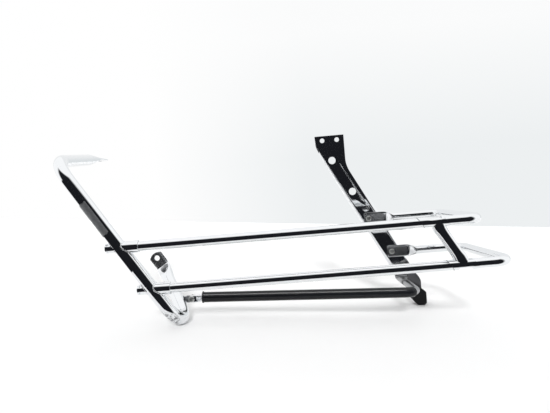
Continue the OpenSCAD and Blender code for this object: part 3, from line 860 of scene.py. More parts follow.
class GUARD_OT_film(bpy.types.Operator):
    """Strip of frosted film round most of the hoop, with lifted corners"""

    bl_idname = "guard.film"
    bl_label = "Hoop film"

    def execute(self, context):
        hoop = context.scene.guard_hoop
        up = hoop_heading()
        across = INBOARD.cross(up)
        rings, inner = [], []
        steps, sweep = 40, 56
        for i in range(steps + 1):
            t = i / steps
            rings.append([])
            inner.append([])
            for k in range(sweep + 1):
                u = k / sweep
                ragged = 0.8 * math.sin(19 * u + 1) + 0.5 * math.sin(41 * u)
                along = hoop.film_from + t * hoop.film_length + ragged * (1 - 4 * t * (1 - t))
                angle = math.radians(mix(FILM_LEFT, FILM_RIGHT, u))
                lift = 0.35 * (ease((t - 0.9) / 0.1) + ease((0.1 - t) / 0.1)) * (1 + math.sin(9 * u)) / 2
                ridge = 0.06 * math.sin(along / 2.3 + 3 * math.sin(7 * u))
                radius = hoop.tube / 2 + 0.35 + lift * 0.6 + ridge
                out = across * math.cos(angle) + INBOARD * math.sin(angle)
                rings[-1].append(up * along + out * radius)
                inner[-1].append(up * along + out * (hoop.tube / 2 + 0.08))
        points, faces = bridge(rings, closed=False)
        base = len(points)
        more, under = bridge(inner, closed=False)
        faces += [tuple(base + v for v in reversed(f)) for f in under]
        row = sweep + 1
        for i in range(steps):
            for k in (0, sweep):
                a, b = i * row + k, (i + 1) * row + k
                faces.append((a, b, base + b, base + a) if k else (b, a, base + a, base + b))
        for k in range(sweep):
            for i in (0, steps):
                a, b = i * row + k, i * row + k + 1
                faces.append((b, a, base + a, base + b) if i else (a, b, base + b, base + a))
        mesh_piece(
            "hoop_film_strip",
            points + more,
            faces,
            material_of("film"),
            sharp=60,
            nodes=["hoop_film"],
        )
        return {"FINISHED"}


def saddle(radius, height, side, count=48):
    """Curve where a tube along X meets the hoop: side 1 behind the hoop and -1 in front of it."""
    hoop = bpy.context.scene.guard_hoop
    lean, hoop_r = hoop.lean, hoop.tube / 2
    curve = []
    for k in range(count):
        y, z = radius * math.cos(2 * math.pi * k / count), radius * math.sin(2 * math.pi * k / count)
        x = (side * math.sqrt(hoop_r**2 - y**2) - math.sin(lean) * z) / math.cos(lean)
        curve.append(Vector((hoop_x(height) + x, y, height + z)))
    return curve


class GUARD_OT_sockets(bpy.types.Operator):
    """Sockets and bosses welded to the hoop, with their weld beads"""

    bl_idname = "guard.sockets"
    bl_label = "Sockets and bosses"

    def execute(self, context):
        rails = context.scene.guard_rails
        chrome = material_of("chrome")
        for name, height in rail_heights():
            middle = hoop_x(height)
            outer, bore = rails.socket / 2, rails.tube / 2 + 0.15
            end = middle + rails.socket_end
            rings = [saddle(outer, height, 1)]
            for x, r in (
                (end - 12, outer),
                (end - 1.0, outer),
                (end - 0.3, outer - 0.3),
                (end, outer - 1.0),
                (end, bore + 0.4),
                (end - 0.4, bore),
                (end - 10, bore),
            ):
                rings.append(circle_ring(Vector((x, 0, height)), INBOARD, UP, r))
            points, faces = bridge(rings)
            mesh_piece(
                f"{name}_socket",
                points,
                faces,
                chrome,
                sharp=40,
                nodes=[f"{name}_rail_socket"],
            )
            bead(f"{name}_socket_weld", saddle(outer - 0.1, height, 1, 144), 1.5, chrome, 24)
            face, head = middle - rails.boss_end, rails.head / 2
            rings = [saddle(head, height, -1)]
            for x, r in ((face + 1.0, head), (face, head - 1.0), (face, 5.4)):
                rings.append(circle_ring(Vector((x, 0, height)), INBOARD, UP, r))
            points, faces = bridge(rings)
            mesh_piece(
                f"{name}_boss",
                points,
                faces,
                chrome,
                sharp=40,
                nodes=[f"{name}_bolt_boss"],
            )
            bead(f"{name}_boss_weld", saddle(head - 0.1, height, -1, 144), 1.3, chrome, 20)
        return {"FINISHED"}


class GUARD_OT_rail_bolts(bpy.types.Operator):
    """Socket head bolts at the front of the rails, with knurled heads"""

    bl_idname = "guard.rail_bolts"
    bl_label = "Rail bolts"

    def execute(self, context):
        rails = context.scene.guard_rails
        for name, height in rail_heights():
            face = hoop_x(height) - rails.boss_end
            head = rails.head / 2
            count = 96
            rings = []
            for along, radius in (
                (-0.02, head - 0.7),
                (0.5, head),
                (4.2, head),
                (4.8, head - 0.6),
                (5.0, head - 1.3),
                (5.0, 4.9),
            ):
                ring = []
                for k in range(count):
                    # 32 straight knurls round the head, a tenth of a millimetre deep
                    knurl = 0.12 * (k % 3 == 0) if 0.4 < along < 4.3 else 0.0
                    a = 2 * math.pi * k / count
                    ring.append(
                        Vector(
                            (
                                face - along,
                                (radius - knurl) * math.cos(a),
                                height + (radius - knurl) * math.sin(a),
                            )
                        )
                    )
                rings.append(ring)
            for depth in (5.0, 2.0):
                ring = []
                for k in range(count):
                    a = 2 * math.pi * k / count
                    flat = hexagon(4.0, a)
                    ring.append(Vector((face - depth, flat * math.cos(a), height + flat * math.sin(a))))
                rings.append(ring)
            points, faces = bridge(rings, cap_start=True, cap_end=True)
            shank_points, shank_faces = lathe(
                [(0.0, 5.0), (51.0, 5.0), (52.0, 4.2)],
                (face, 0, height),
                REARWARD,
                32,
            )
            base = len(points)
            faces += [tuple(base + v for v in f) for f in shank_faces]
            mesh_piece(
                f"{name}_bolt",
                points + shank_points,
                faces,
                material_of("chrome"),
                sharp=30,
                nodes=[f"{name}_rail_bolt"],
            )
        return {"FINISHED"}


class GUARD_OT_rails(bpy.types.Operator):
    """Upper and lower rails with their leaning rear ends"""

    bl_idname = "guard.rails"
    bl_label = "Rails"

    def execute(self, context):
        rails = context.scene.guard_rails
        lean = math.tan(rails.joint_lean)
        outer, inner = rails.tube / 2, rails.tube / 2 - rails.wall
        for name, height in rail_heights():
            start, end = hoop_x(height) + RAIL_START, link_x(height) - SLEEVE_FRONT - JOINT_GAP
            rings = []
            for x, r, tilt in (
                (start + 6, inner, 0),
                (start, inner, 0),
                (start, outer, 0),
                (start + 12, outer, 0),
                (end - 18, outer, 0),
                (end - 0.35, outer, 1),
                (end, outer - 0.35, 1),
                (end, inner, 1),
                (end - 18, inner, 0),
            ):
                ring = []
                for k in range(64):
                    y, z = r * math.cos(2 * math.pi * k / 64), r * math.sin(2 * math.pi * k / 64)
                    ring.append(Vector((x - tilt * z * lean, y, height + z)))
                rings.append(ring)
            points, faces = bridge(rings)
            mesh_piece(
                f"{name}_rail_tube",
                points,
                faces,
                material_of("chrome"),
                sharp=40,
                nodes=[f"{name}_rail"],
            )
        return {"FINISHED"}


class GUARD_OT_link(bpy.types.Operator):
    """Rear link: a casting whose leaning web flows into a sleeve on each rail"""

    bl_idname = "guard.link"
    bl_label = "Rear link"

    def execute(self, context):
        rails = context.scene.guard_rails
        points, faces, creases = [], [], []
        lean = math.tan(rails.joint_lean)
        holes = {}
        for name, height in rail_heights():
            middle = link_x(height)
            below = name == "upper"
            front, rear = middle - SLEEVE_FRONT, middle + SLEEVE_REAR
            # Half the opening that the web grows from
            half = rails.web / 2 * CAGE * 0.92
            turn = math.pi if below else 0.0
            spots = [
                (front, 1, 1.0),
                (front + 1.2, 1, 1.0),
                (middle - half - 4, 0.35, 1.0),
                (middle - half, 0, 1.0),
                (middle, 0, 1.0),
                (middle + half, 0, 1.0),
                (middle + half + 2, 0.6, 1.0),
                (rear - 1.2, 1, 1.0),
                (rear, 1, 1.0),
            ]
            base = len(points)
            for x, tilt, scale in spots:
                for k in range(8):
                    # Point 2 faces the web
                    a = math.radians(45 * k) + turn
                    r = rails.sleeve / 2 * CAGE * scale
                    y, z = r * math.cos(a), -r * math.sin(a)
                    points.append(Vector((x - tilt * z * lean, y, height + z)))
            for i in range(len(spots) - 1):
                for k in range(8):
                    if 3 <= i <= 4 and k in (1, 2):
                        continue
                    m = (k + 1) % 8
                    faces.append(
                        (base + i * 8 + k, base + i * 8 + m, base + (i + 1) * 8 + m, base + (i + 1) * 8 + k)
                    )
            for i in (0, len(spots) - 1):
                faces.append(tuple(base + i * 8 + k for k in range(8)))
                creases += [(base + i * 8 + k, base + i * 8 + (k + 1) % 8) for k in range(8)]
            holes[name] = [
                base + i * 8 + k
                for i, k in ((3, 1), (3, 2), (3, 3), (4, 3), (5, 3), (5, 2), (5, 1), (4, 1))
            ]
        return self.finish(rails, points, faces, creases, holes)

    def finish(self, rails, points, faces, creases, holes):
        """Joins the two sleeves with the web and smooths the cage."""
        down = Vector((math.sin(rails.link_lean), 0, -math.cos(rails.link_lean)))
        fore = square_to(-REARWARD, down)
        length = rails.pitch / math.cos(rails.link_lean)
        top = Vector((rails.link, 0, 0))
        loops = [holes["upper"]]
        angles = (135, 180, 225, 270, 315, 0, 45, 90)
        for along, wider in (
            (13.5, 1.22),
            (20, 1.06),
            (30, 1.0),
            (length - 30, 1.0),
            (length - 20, 1.06),
            (length - 13.5, 1.22),
        ):
            loop = []
            for degree in angles:
                a = math.radians(degree)
                r = rails.web / 2 * CAGE
                out = fore * -math.cos(a) * r * wider + INBOARD * math.sin(a) * r * min(wider, 1.0)
                loop.append(len(points))
                points.append(top + down * along + out)
            loops.append(loop)
        loops.append(holes["lower"])
        self.stitch(points, faces, loops)
        mesh = bpy.data.meshes.new("rear_link_casting")
        mesh.from_pydata([guard_point(p) for p in points], [], faces)
        mesh.materials.append(material_of("chrome"))
        piece = bpy.data.objects.new("rear_link_casting", mesh)
        bpy.context.scene.collection.objects.link(piece)
        work = bmesh.new()
        work.from_mesh(mesh)
        work.verts.ensure_lookup_table()
        layer = work.edges.layers.float.get("crease_edge") or work.edges.layers.float.new("crease_edge")
        wanted = {frozenset(pair) for pair in creases}
        for edge in work.edges:
            if frozenset(v.index for v in edge.verts) in wanted:
                edge[layer] = 1.0
        bmesh.ops.recalc_face_normals(work, faces=work.faces)
        for face in work.faces:
            face.smooth = True
        work.to_mesh(mesh)
        work.free()
        smooth = piece.modifiers.new("cast surface", "SUBSURF")
        smooth.levels = smooth.render_levels = 4
        baked(piece, 40)
        settle(piece, ["rear_link"])
        return self.spigots(rails)

    def stitch(self, points, faces, loops):
        """Skins a list of eight point loops, each matched to the next by the nearest turn."""
        for first, second in zip(loops, loops[1:]):
            best = None
            for order in (second, second[::-1]):
                for shift in range(8):
                    turned = order[shift:] + order[:shift]
                    cost = sum((points[a] - points[b]).length for a, b in zip(first, turned))
                    if best is None or cost < best[0]:
                        best = (cost, turned)
            second[:] = best[1]
            for k in range(8):
                m = (k + 1) % 8
                faces.append((first[k], first[m], second[m], second[k]))

    def spigots(self, rails):
        radius = rails.tube / 2 - rails.wall - 0.15
        for name, height in rail_heights():
            middle = link_x(height)
            points, faces = lathe(
                [(-49, radius - 1.5), (-47.5, radius), (40.5, radius), (42, radius - 1.5)],
                (middle, 0, height),
                REARWARD,
            )
            mesh_piece(f"{name}_link_spigot", points, faces, material_of("chrome"), sharp=40)
        return {"FINISHED"}


class GUARD_OT_loops(bpy.types.Operator):
    """Rear loops: round the back of the bag to their flat ends on the bracket arm"""

    bl_idname = "guard.loops"
    bl_label = "Rear loops"

    def execute(self, context):
        rails = context.scene.guard_rails
        outer, inner = rails.tube / 2, rails.tube / 2 - rails.wall
        face_y = arm_face()
        # Width and length of a flat end, length of the pinch before it, and how far it passes its bolt
        flat_h, flat, pinch, past = 28.0, 46.0, 22.0, 10.0
        bolts = (arm_x(0) - LOOP_BOLT_SHIFT, arm_x(-rails.pitch))
        for (name, height), bolt in zip(rail_heights(), bolts):
            # The loops' flat ends are dull and painted darker as painted shade
            WORN_AND_PAINTED_SHADE_PLACES[name] = (guard_point((bolt - past + flat / 2, face_y, height)), 0.028, 0.5)
        for (name, height), bolt in zip(rail_heights(), bolts):
            start = link_x(height) + SLEEVE_REAR + JOINT_GAP
            leg = link_x(height) + rails.reach
            flat_end = bolt - past
            back_run = leg - rails.bend - (flat_end + flat + pinch)
            stations = walk(
                (start, 0, height),
                REARWARD,
                INBOARD,
                [
                    ("run", 12.0, 2),
                    ("run", leg - rails.bend - start - 12.0, 4),
                    ("bend", rails.bend, 90),
                    ("run", rails.depth - 2 * rails.bend, 8),
                    ("bend", rails.bend, 90),
                    ("run", back_run, 6),
                    ("run", pinch, 24),
                    ("run", flat - 5.0, 6),
                    ("run", 4.95, 12),
                ],
            )
            total = stations[-1].along
            flat_from = total + 0.05 - flat - pinch
            rings = []
            for s in stations:
                squash = ease((s.along - flat_from) / pinch)
                left = total + 0.05 - s.along
                corner = 5.0 - math.sqrt(max(0.0, 25.0 - max(0.0, 5.0 - left) ** 2))
                wide = square_to(UP, s.heading)
                centre = s.point + INBOARD * squash * (face_y - FLAT_T / 2 - rails.depth)
                half = mix(outer, flat_h / 2 - corner, squash)
                ring = oval(
                    centre,
                    wide,
                    s.heading.cross(wide),
                    half,
                    mix(outer, FLAT_T / 2, squash),
                    mix(2, 6, squash),
                )
                if s.along == 0:
                    lean = math.tan(rails.joint_lean)
                    ring = [p - REARWARD * (p.z - height) * lean for p in ring]
                rings.append(ring)
            wide, thick = UP, REARWARD.cross(UP)
            lean = math.tan(rails.joint_lean)
            mouth = []
            for x, r, tilt in ((start + 18, inner, 0), (start, inner, 1), (start, outer - 0.35, 1)):
                ring = circle_ring(Vector((x, 0, height)), wide, thick, r)
                mouth.append([p - REARWARD * (p.z - height) * lean * tilt for p in ring])
            points, faces = bridge(mouth + rings, cap_end=True)
            piece = mesh_piece(
                f"{name}_loop_tube",
                points,
                faces,
                material_of("loops"),
                sharp=45,
                nodes=[f"{name}_rear_loop"],
            )
            soften(piece, 0.35, angle=60)
        return {"FINISHED"}


class GUARD_OT_arm(bpy.types.Operator):
    """Bracket arm: pressed channel with rolled edges, a recessed panel, drilled holes and a tongue"""

    bl_idname = "guard.arm"
    bl_label = "Bracket arm"

    def execute(self, context):
        arm = context.scene.guard_bracket
        face_y = arm_face()
        pad_x, pad_half, top, foot = ORIGIN.x, 31.5, 206.0, FOOT_Z
        half = arm.width / math.cos(arm.lean) / 2
        tongue_x, tongue_half = arm_x(foot) + TONGUE_SHIFT, 12.5

        def softer(a, b, blend):
            """The larger of two values, rounded where they cross."""
            h = max(0.0, min(1.0, 0.5 + 0.5 * (a - b) / blend))
            return mix(b, a, h) + blend * h * (1 - h)

        def edges(z):
            left = softer(pad_x - pad_half, arm_x(z) - half, 9.0)
            right = softer(pad_x + pad_half, arm_x(z) + half, 9.0)
            if z < foot + 2:
                t = ease((foot + 2 - z) / 26)
                left = mix(left, tongue_x - tongue_half, t)
                right = mix(right, tongue_x + tongue_half, t)
            return left, right

        def panel(x, z):
            """Depth of the recessed panel, whose lower end is an S by the small nut."""
            middle = arm_x(z)
            across = 1 - ease((abs(x - middle) - 8.0) / 3.5)
            end = 46 - 9 * math.tanh((x - middle) / 5)
            below = ease((z - end + 3) / 6)
            above = 1 - ease((z - 158) / 14)
            return arm.panel * across * below * above

        # The tongue is dull and painted darker as painted shade, in place of the white table it would
        # mirror
        WORN_AND_PAINTED_SHADE_PLACES["tongue"] = (guard_point((tongue_x, face_y, foot)), 0.048, 0.93)
        rows = 150
        heights = [top - (top - (foot - 50)) * i / rows for i in range(rows + 1)]
        flat_steps, roll_steps = 30, 7
        rings = []
        for z in heights:
            left, right = edges(z)
            fade = ease((z - (foot - 24)) / 22)
            up_left = Vector((edges(z + 1)[0] - edges(z - 1)[0], 0, 2)).normalized()
            up_right = Vector((edges(z + 1)[1] - edges(z - 1)[1], 0, 2)).normalized()
            out_left, out_right = Vector((-up_left.z, 0, up_left.x)), Vector((up_right.z, 0, -up_right.x))
            ring = []
            roll = arm.edge * fade
            deep = (arm.flange - arm.edge) * fade
            for side, corner, out in (
                (-1, Vector((left, face_y, z)), out_left),
                (1, Vector((right, face_y, z)), out_right),
            ):
                turn = []
                for k in range(1, roll_steps + 1):
                    a = math.radians(90 * k / roll_steps)
                    turn.append(corner + out * roll * math.sin(a) + INBOARD * roll * (1 - math.cos(a)))
                turn.append(turn[-1] + INBOARD * (deep * 0.5 + 0.001))
                turn.append(turn[-1] + INBOARD * (deep * 0.5 + 0.001))
                if side < 0:
                    ring += turn[::-1]
                    for k in range(flat_steps + 1):
                        x = mix(left, right, k / flat_steps)
                        ring.append(Vector((x, face_y + panel(x, z), z)))
                else:
                    ring += turn
            rings.append(ring)
        points, faces = bridge(rings, closed=False)
        piece = mesh_piece(
            "arm_pressing",
            points,
            faces,
            material_of("arm"),
            sharp=60,
            nodes=["bracket_arm"],
        )
        thick = piece.modifiers.new("plate", "SOLIDIFY")
        thick.thickness = arm.plate / 1000
        thick.offset = -1.0
        thick.use_even_offset = True
        self.keep_front(piece, thick)
        # Two bolt holes in the pad, two large holes, and the hole of the clinch nut
        holes = [
            (pad_x - 17.5, ORIGIN.z, 5.5),
            (pad_x + 17.5, ORIGIN.z, 5.5),
            (arm_x(146) - 4, 146.0, 8.75),
            (arm_x(68) - 2, 68.0, 8.75),
            (arm_x(CLINCH_Z) + CLINCH_SHIFT, CLINCH_Z, 5.7),
        ]
        drill(piece, [((x, face_y - 10, z), (x, face_y + 20, z), r) for x, z, r in holes], sharp=40)
        soften(piece, 0.45, angle=40)
        return {"FINISHED"}

    def keep_front(self, piece, thick):
        """Turns the plate so that its thickness grows inboard, away from the pressed face."""
        middle = min(
            piece.data.polygons,
            key=lambda f: (f.center - guard_point((arm_x(100), 262, 100))).length,
        )
        thick.offset = -1.0 if middle.normal.y < 0 else 1.0


class GUARD_OT_fasteners(bpy.types.Operator):
    """Button head bolts, hexagon nuts and the clinch nut"""

    bl_idname = "guard.fasteners"
    bl_label = "Bolts and nuts"

    def execute(self, context):
        rails, arm = context.scene.guard_rails, context.scene.guard_bracket
        face_y = arm_face()
        back_y = face_y + arm.plate
        high_x, low_x, low_z = arm_x(0) - LOOP_BOLT_SHIFT, arm_x(-rails.pitch), -rails.pitch
        rear_z = low_z - BOLT_DROP
        rear_x = arm_x(rear_z) - BOLT_SHIFT
        eye_z = STRUT_Z - EYE_DROP
        self.bolt("upper_loop_bolt", (high_x, face_y - FLAT_T, 0), FLAT_T + arm.plate)
        self.bolt("lower_loop_bolt", (low_x, face_y - FLAT_T, low_z), FLAT_T + arm.plate)
        self.bolt("strut_rear_bolt", (rear_x, face_y - STRUT_FLAT, rear_z), STRUT_FLAT + arm.plate)
        self.bolt("strut_front_bolt", (EYE_X, STRUT_Y - EYE_HALF, eye_z), 2 * EYE_HALF + LUG_T)
        self.nut("upper_loop_nut", (high_x, back_y, 0))
        self.nut("lower_loop_nut", (low_x, back_y, low_z))
        self.nut("strut_rear_nut", (rear_x, back_y, rear_z))
        self.nut("strut_front_nut", (EYE_X, STRUT_Y + EYE_HALF + LUG_T, eye_z))
        points, faces = lathe(
            [
                (0.8, 3.25),
                (-0.9, 3.25),
                (-1.2, 3.6),
                (-1.2, 7.2),
                (-0.8, 7.8),
                (0.0, 7.8),
                (0.0, 5.5),
                (8.0, 5.5),
                (8.0, 3.25),
                (0.8, 3.25),
            ],
            (arm_x(CLINCH_Z) + CLINCH_SHIFT, face_y, CLINCH_Z),
            INBOARD,
        )
        mesh_piece(
            "clinch_nut",
            points,
            faces,
            material_of("chrome"),
            sharp=30,
            nodes=["arm_clinch_nut"],
        )
        return {"FINISHED"}

    def bolt(self, name, seat, stack):
        """A button head with a hexagon socket outboard of its seat, and a threaded end."""
        count, seat = 48, Vector(seat)
        rings = []
        dome = [(0.0, 6.2), (-0.25, 6.55), (-0.9, 6.6)]
        dome += [
            (-0.9 - 3.4 * math.sin(math.radians(a)), 6.6 - 3.1 * (1 - math.cos(math.radians(a))))
            for a in (15, 30, 45, 60, 75, 90)
        ]
        for along, radius in dome:
            rings.append(circle_ring(seat + INBOARD * along, UP, REARWARD, radius, count))
        for along in (-4.3, -2.2):
            ring = []
            for k in range(count):
                a = 2 * math.pi * k / count
                flat = hexagon(2.5, a)
                ring.append(
                    seat + INBOARD * along + UP * flat * math.cos(a) + REARWARD * flat * math.sin(a)
                )
            rings.append(ring)
        points, faces = bridge(rings, cap_start=True, cap_end=True)
        # Thread turns 1.25 mm apart, drawn as rings
        profile = [(0.01, 4.0), (stack + 0.2, 4.0)]
        along = stack + 0.4
        while along < stack + 8.0:
            profile += [(along, 3.95), (along + 0.6, 3.45)]
            along += 1.25
        profile.append((stack + 8.8, 3.2))
        more, under = lathe(profile, seat, INBOARD, 32)
        base = len(points)
        faces += [tuple(base + v for v in f) for f in under]
        mesh_piece(
            f"{name}_head",
            points + more,
            faces,
            material_of("zinc"),
            sharp=28,
            nodes=[name],
        )

    def nut(self, name, seat):
        """A hexagon nut with a chamfer turned on its outer corners."""
        seat, count, height, flat = Vector(seat), 72, 6.4, 6.17
        rings = []
        for along, kind in (
            (0.6, "bore"),
            (0.0, "mouth"),
            (0.0, "hex"),
            (height, "crown"),
            (height, "rim"),
            (height, "mouth"),
            (height - 0.6, "bore"),
            (0.6, "bore"),
        ):
            ring = []
            for k in range(count):
                a = 2 * math.pi * k / count
                corner = hexagon(flat, a)
                radius = {
                    "bore": 4.05,
                    "mouth": 4.6,
                    "hex": corner,
                    "crown": corner,
                    "rim": flat * 0.97,
                }[kind]
                drop = max(0.0, corner - flat * 0.97) * 0.58 if kind == "crown" else 0.0
                ring.append(
                    seat + INBOARD * (
                        along - drop
                    ) + UP * radius * math.cos(a) + REARWARD * radius * math.sin(a)
                )
            rings.append(ring)
        points, faces = bridge(rings)
        mesh_piece(f"{name}_hex", points, faces, material_of("zinc"), sharp=24, nodes=[name])


class GUARD_OT_strut(bpy.types.Operator):
    """Lower strut: flattened eye, straight run, bend inboard and a flat bent up against the arm"""

    bl_idname = "guard.strut"
    bl_label = "Lower strut"

    def execute(self, context):
        rails, arm = context.scene.guard_rails, context.scene.guard_bracket
        face_y = arm_face()
        fall = math.radians(3.2)
        along = Vector((math.cos(fall), 0, -math.sin(fall)))
        below = Vector((-math.sin(fall), 0, -math.cos(fall)))
        radius, bend, fold = arm.strut / 2, 28.0, 7.0
        # Its inboard leg stands 19 mm in front of the arm's middle, taken 60 mm below the lower rail
        rear_x = arm_x(-rails.pitch - 60) - 19
        run = (rear_x - bend - EYE_X) / math.cos(fall)
        leg = face_y - STRUT_FLAT / 2 - fold - STRUT_Y - bend
        stations = walk(
            Vector((EYE_X, STRUT_Y, STRUT_Z)) - along * 12.5,
            along,
            INBOARD,
            [
                ("run", 5.0, 12),
                ("run", 17.5, 4),
                ("run", 14.0, 20),
                ("run", run - 24.0, 10),
                ("bend", bend, 90),
                ("run", leg - 24.0, 8),
                ("run", 24.0, 20),
            ],
        )
        end = stations[-1]
        pinch_from = end.along - 24.0
        plate = walk(end.point, INBOARD, UP, [("bend", fold, 90), ("run", 22.0, 6), ("run", 5.0, 12)])
        for s in plate[1:]:
            s.along += end.along
        flat_shift = arm_x(-rails.pitch - BOLT_DROP) - BOLT_SHIFT - 2 - rear_x
        total = plate[-1].along
        rings = []
        for s in stations + plate[1:]:
            eye = 1 - ease((s.along - 22.5) / 14)
            flat = ease((s.along - pinch_from) / 22)
            corner = 5.0 - math.sqrt(max(0.0, 25.0 - max(0.0, 5.0 - s.along - 0.05) ** 2))
            tip = 5.0 - math.sqrt(max(0.0, 25.0 - max(0.0, 5.0 - (total - s.along + 0.05)) ** 2))
            # The width lies upright at the eye and along the rails at the arm
            upright = square_to(UP, s.heading) if abs(s.heading.z) < 0.9 else REARWARD
            level = REARWARD if s.along > pinch_from - 40 else s.side
            turn = ease((s.along - pinch_from + 110) / 100)
            wide = square_to(mix(upright, level, turn), s.heading)
            half_wide = mix(mix(radius, 7.2 - corner, eye), 14.0 - tip, flat)
            half_thick = mix(mix(radius, EYE_HALF, eye), STRUT_FLAT / 2, flat)
            centre = s.point + below * EYE_DROP * eye + REARWARD * flat_shift * flat
            rings.append(
                oval(
                    centre,
                    wide,
                    s.heading.cross(wide),
                    half_wide,
                    half_thick,
                    mix(2, 5, max(eye, flat)),
                    40,
                )
            )
        points, faces = bridge(rings, cap_start=True, cap_end=True)
        # The strut's eye and rear plate are dull and painted darker as painted shade; the rear plate would
        # otherwise mirror the pale table
        WORN_AND_PAINTED_SHADE_PLACES["eye"] = (guard_point((EYE_X - 12, STRUT_Y, STRUT_Z - EYE_DROP)), 0.014, 0.7)
        WORN_AND_PAINTED_SHADE_PLACES["plate"] = (
            guard_point((rear_x + flat_shift, face_y - STRUT_FLAT / 2, -rails.pitch - 52)),
            0.21,
            0.7,
        )
        piece = mesh_piece(
            "strut_tube",
            points,
            faces,
            material_of("strut"),
            sharp=45,
            nodes=["lower_strut"],
        )
        soften(piece, 0.35, angle=60)
        self.sleeve(arm, along, run, bend)
        self.lug()
        return {"FINISHED"}

    def sleeve(self, arm, along, run, bend):
        """Black sleeve with a rolled lip in front, drawn into the strut's rear bend."""
        bore = arm.strut / 2 + 0.15
        outer = bore + arm.sleeve_wall
        start = 23.0
        lip = ((0.0, 0.9), (0.5, 1.4), (2.2, 1.5), (3.0, 1.1), (3.4, 0.3), (4.4, 0.0))
        stations = walk(
            Vector((EYE_X, STRUT_Y, STRUT_Z)) + along * start,
            along,
            INBOARD,
            [("run", 5.0, 50), ("run", run - start - 5.0, 30), ("bend", bend, arm.sleeve_turn)],
        )
        total = stations[-1].along
        mouth = stations[0]
        rings = []
        for s in (stations[5], mouth):
            rings.append(circle_ring(s.point, s.side, s.heading.cross(s.side), bore, 64))
        for s in stations:
            proud = 0.0
            for (a, rise), (b, more) in zip(lip, lip[1:]):
                if a <= s.along < b:
                    proud = mix(rise, more, (s.along - a) / (b - a))
            worn = 0.05 * math.sin(s.along / 17)
            radius = outer + proud + worn - 0.7 * ease((s.along - total + 1.2) / 1.2)
            rings.append(circle_ring(s.point, s.side, s.heading.cross(s.side), radius, 64))
        end = stations[-1]
        rings.append(circle_ring(end.point, end.side, end.heading.cross(end.side), bore + 0.3, 64))
        deep = stations[-3]
        rings.append(circle_ring(deep.point, deep.side, deep.heading.cross(deep.side), bore, 64))
        points, faces = bridge(rings)
        mesh_piece(
            "strut_vinyl_sleeve",
            points,
            faces,
            material_of("sleeve"),
            sharp=50,
            nodes=["strut_sleeve"],
        )

    def lug(self):
        """Lug plate cut from flat bar and welded to the hoop's lower leg."""
        front = STRUT_Y + EYE_HALF
        outline = [(9.5, 6), (9.5, -7), (-11, -7), (-13, -25), (-22, -22), (-45, 10), (-32, 20), (-16, 6)]
        points, faces = slab(outline, EYE_X, STRUT_Z - EYE_DROP, front, front + LUG_T)
        piece = mesh_piece(
            "strut_lug_plate",
            points,
            faces,
            material_of("chrome"),
            nodes=["strut_lug"],
        )
        soften(piece, 0.8, 3)


class GUARD_OT_boot(bpy.types.Operator):
    """Rubber boot: a moulded block with soft edges over the arm's tongue"""

    bl_idname = "guard.boot"
    bl_label = "Foot boot"

    def execute(self, context):
        arm = context.scene.guard_bracket
        back = arm_face() + arm.plate + 4
        width, deep, tall, cut = 35.0, 31.0, 39.0, 9.0
        left, top = arm_x(FOOT_Z) + TONGUE_SHIFT - width / 2, -174.0
        outline = [
            (0, 0),
            (width - cut, 0),
            (width, -cut),
            (width, -tall + cut / 2),
            (width - cut / 2, -tall),
            (cut * 1.6, -tall),
            (0, -tall + cut * 2),
        ]
        points, faces = slab(outline, left, top, back - deep, back)
        piece = mesh_piece(
            "foot_boot_moulding",
            points,
            faces,
            material_of("boot"),
            nodes=["foot_boot"],
        )
        soften(piece, arm.boot_round, 4)
        return {"FINISHED"}


class GUARD_OT_hidden(bpy.types.Operator):
    """Gives the CAD pieces that stay in place their finishes"""

    bl_idname = "guard.hidden"
    bl_label = "Inner pieces"

    def execute(self, context):
        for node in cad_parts.values():
            if not node.hide_render:
                node.data.materials.clear()
                node.data.materials.append(material_of("zinc"))
        return {"FINISHED"}


# Stage


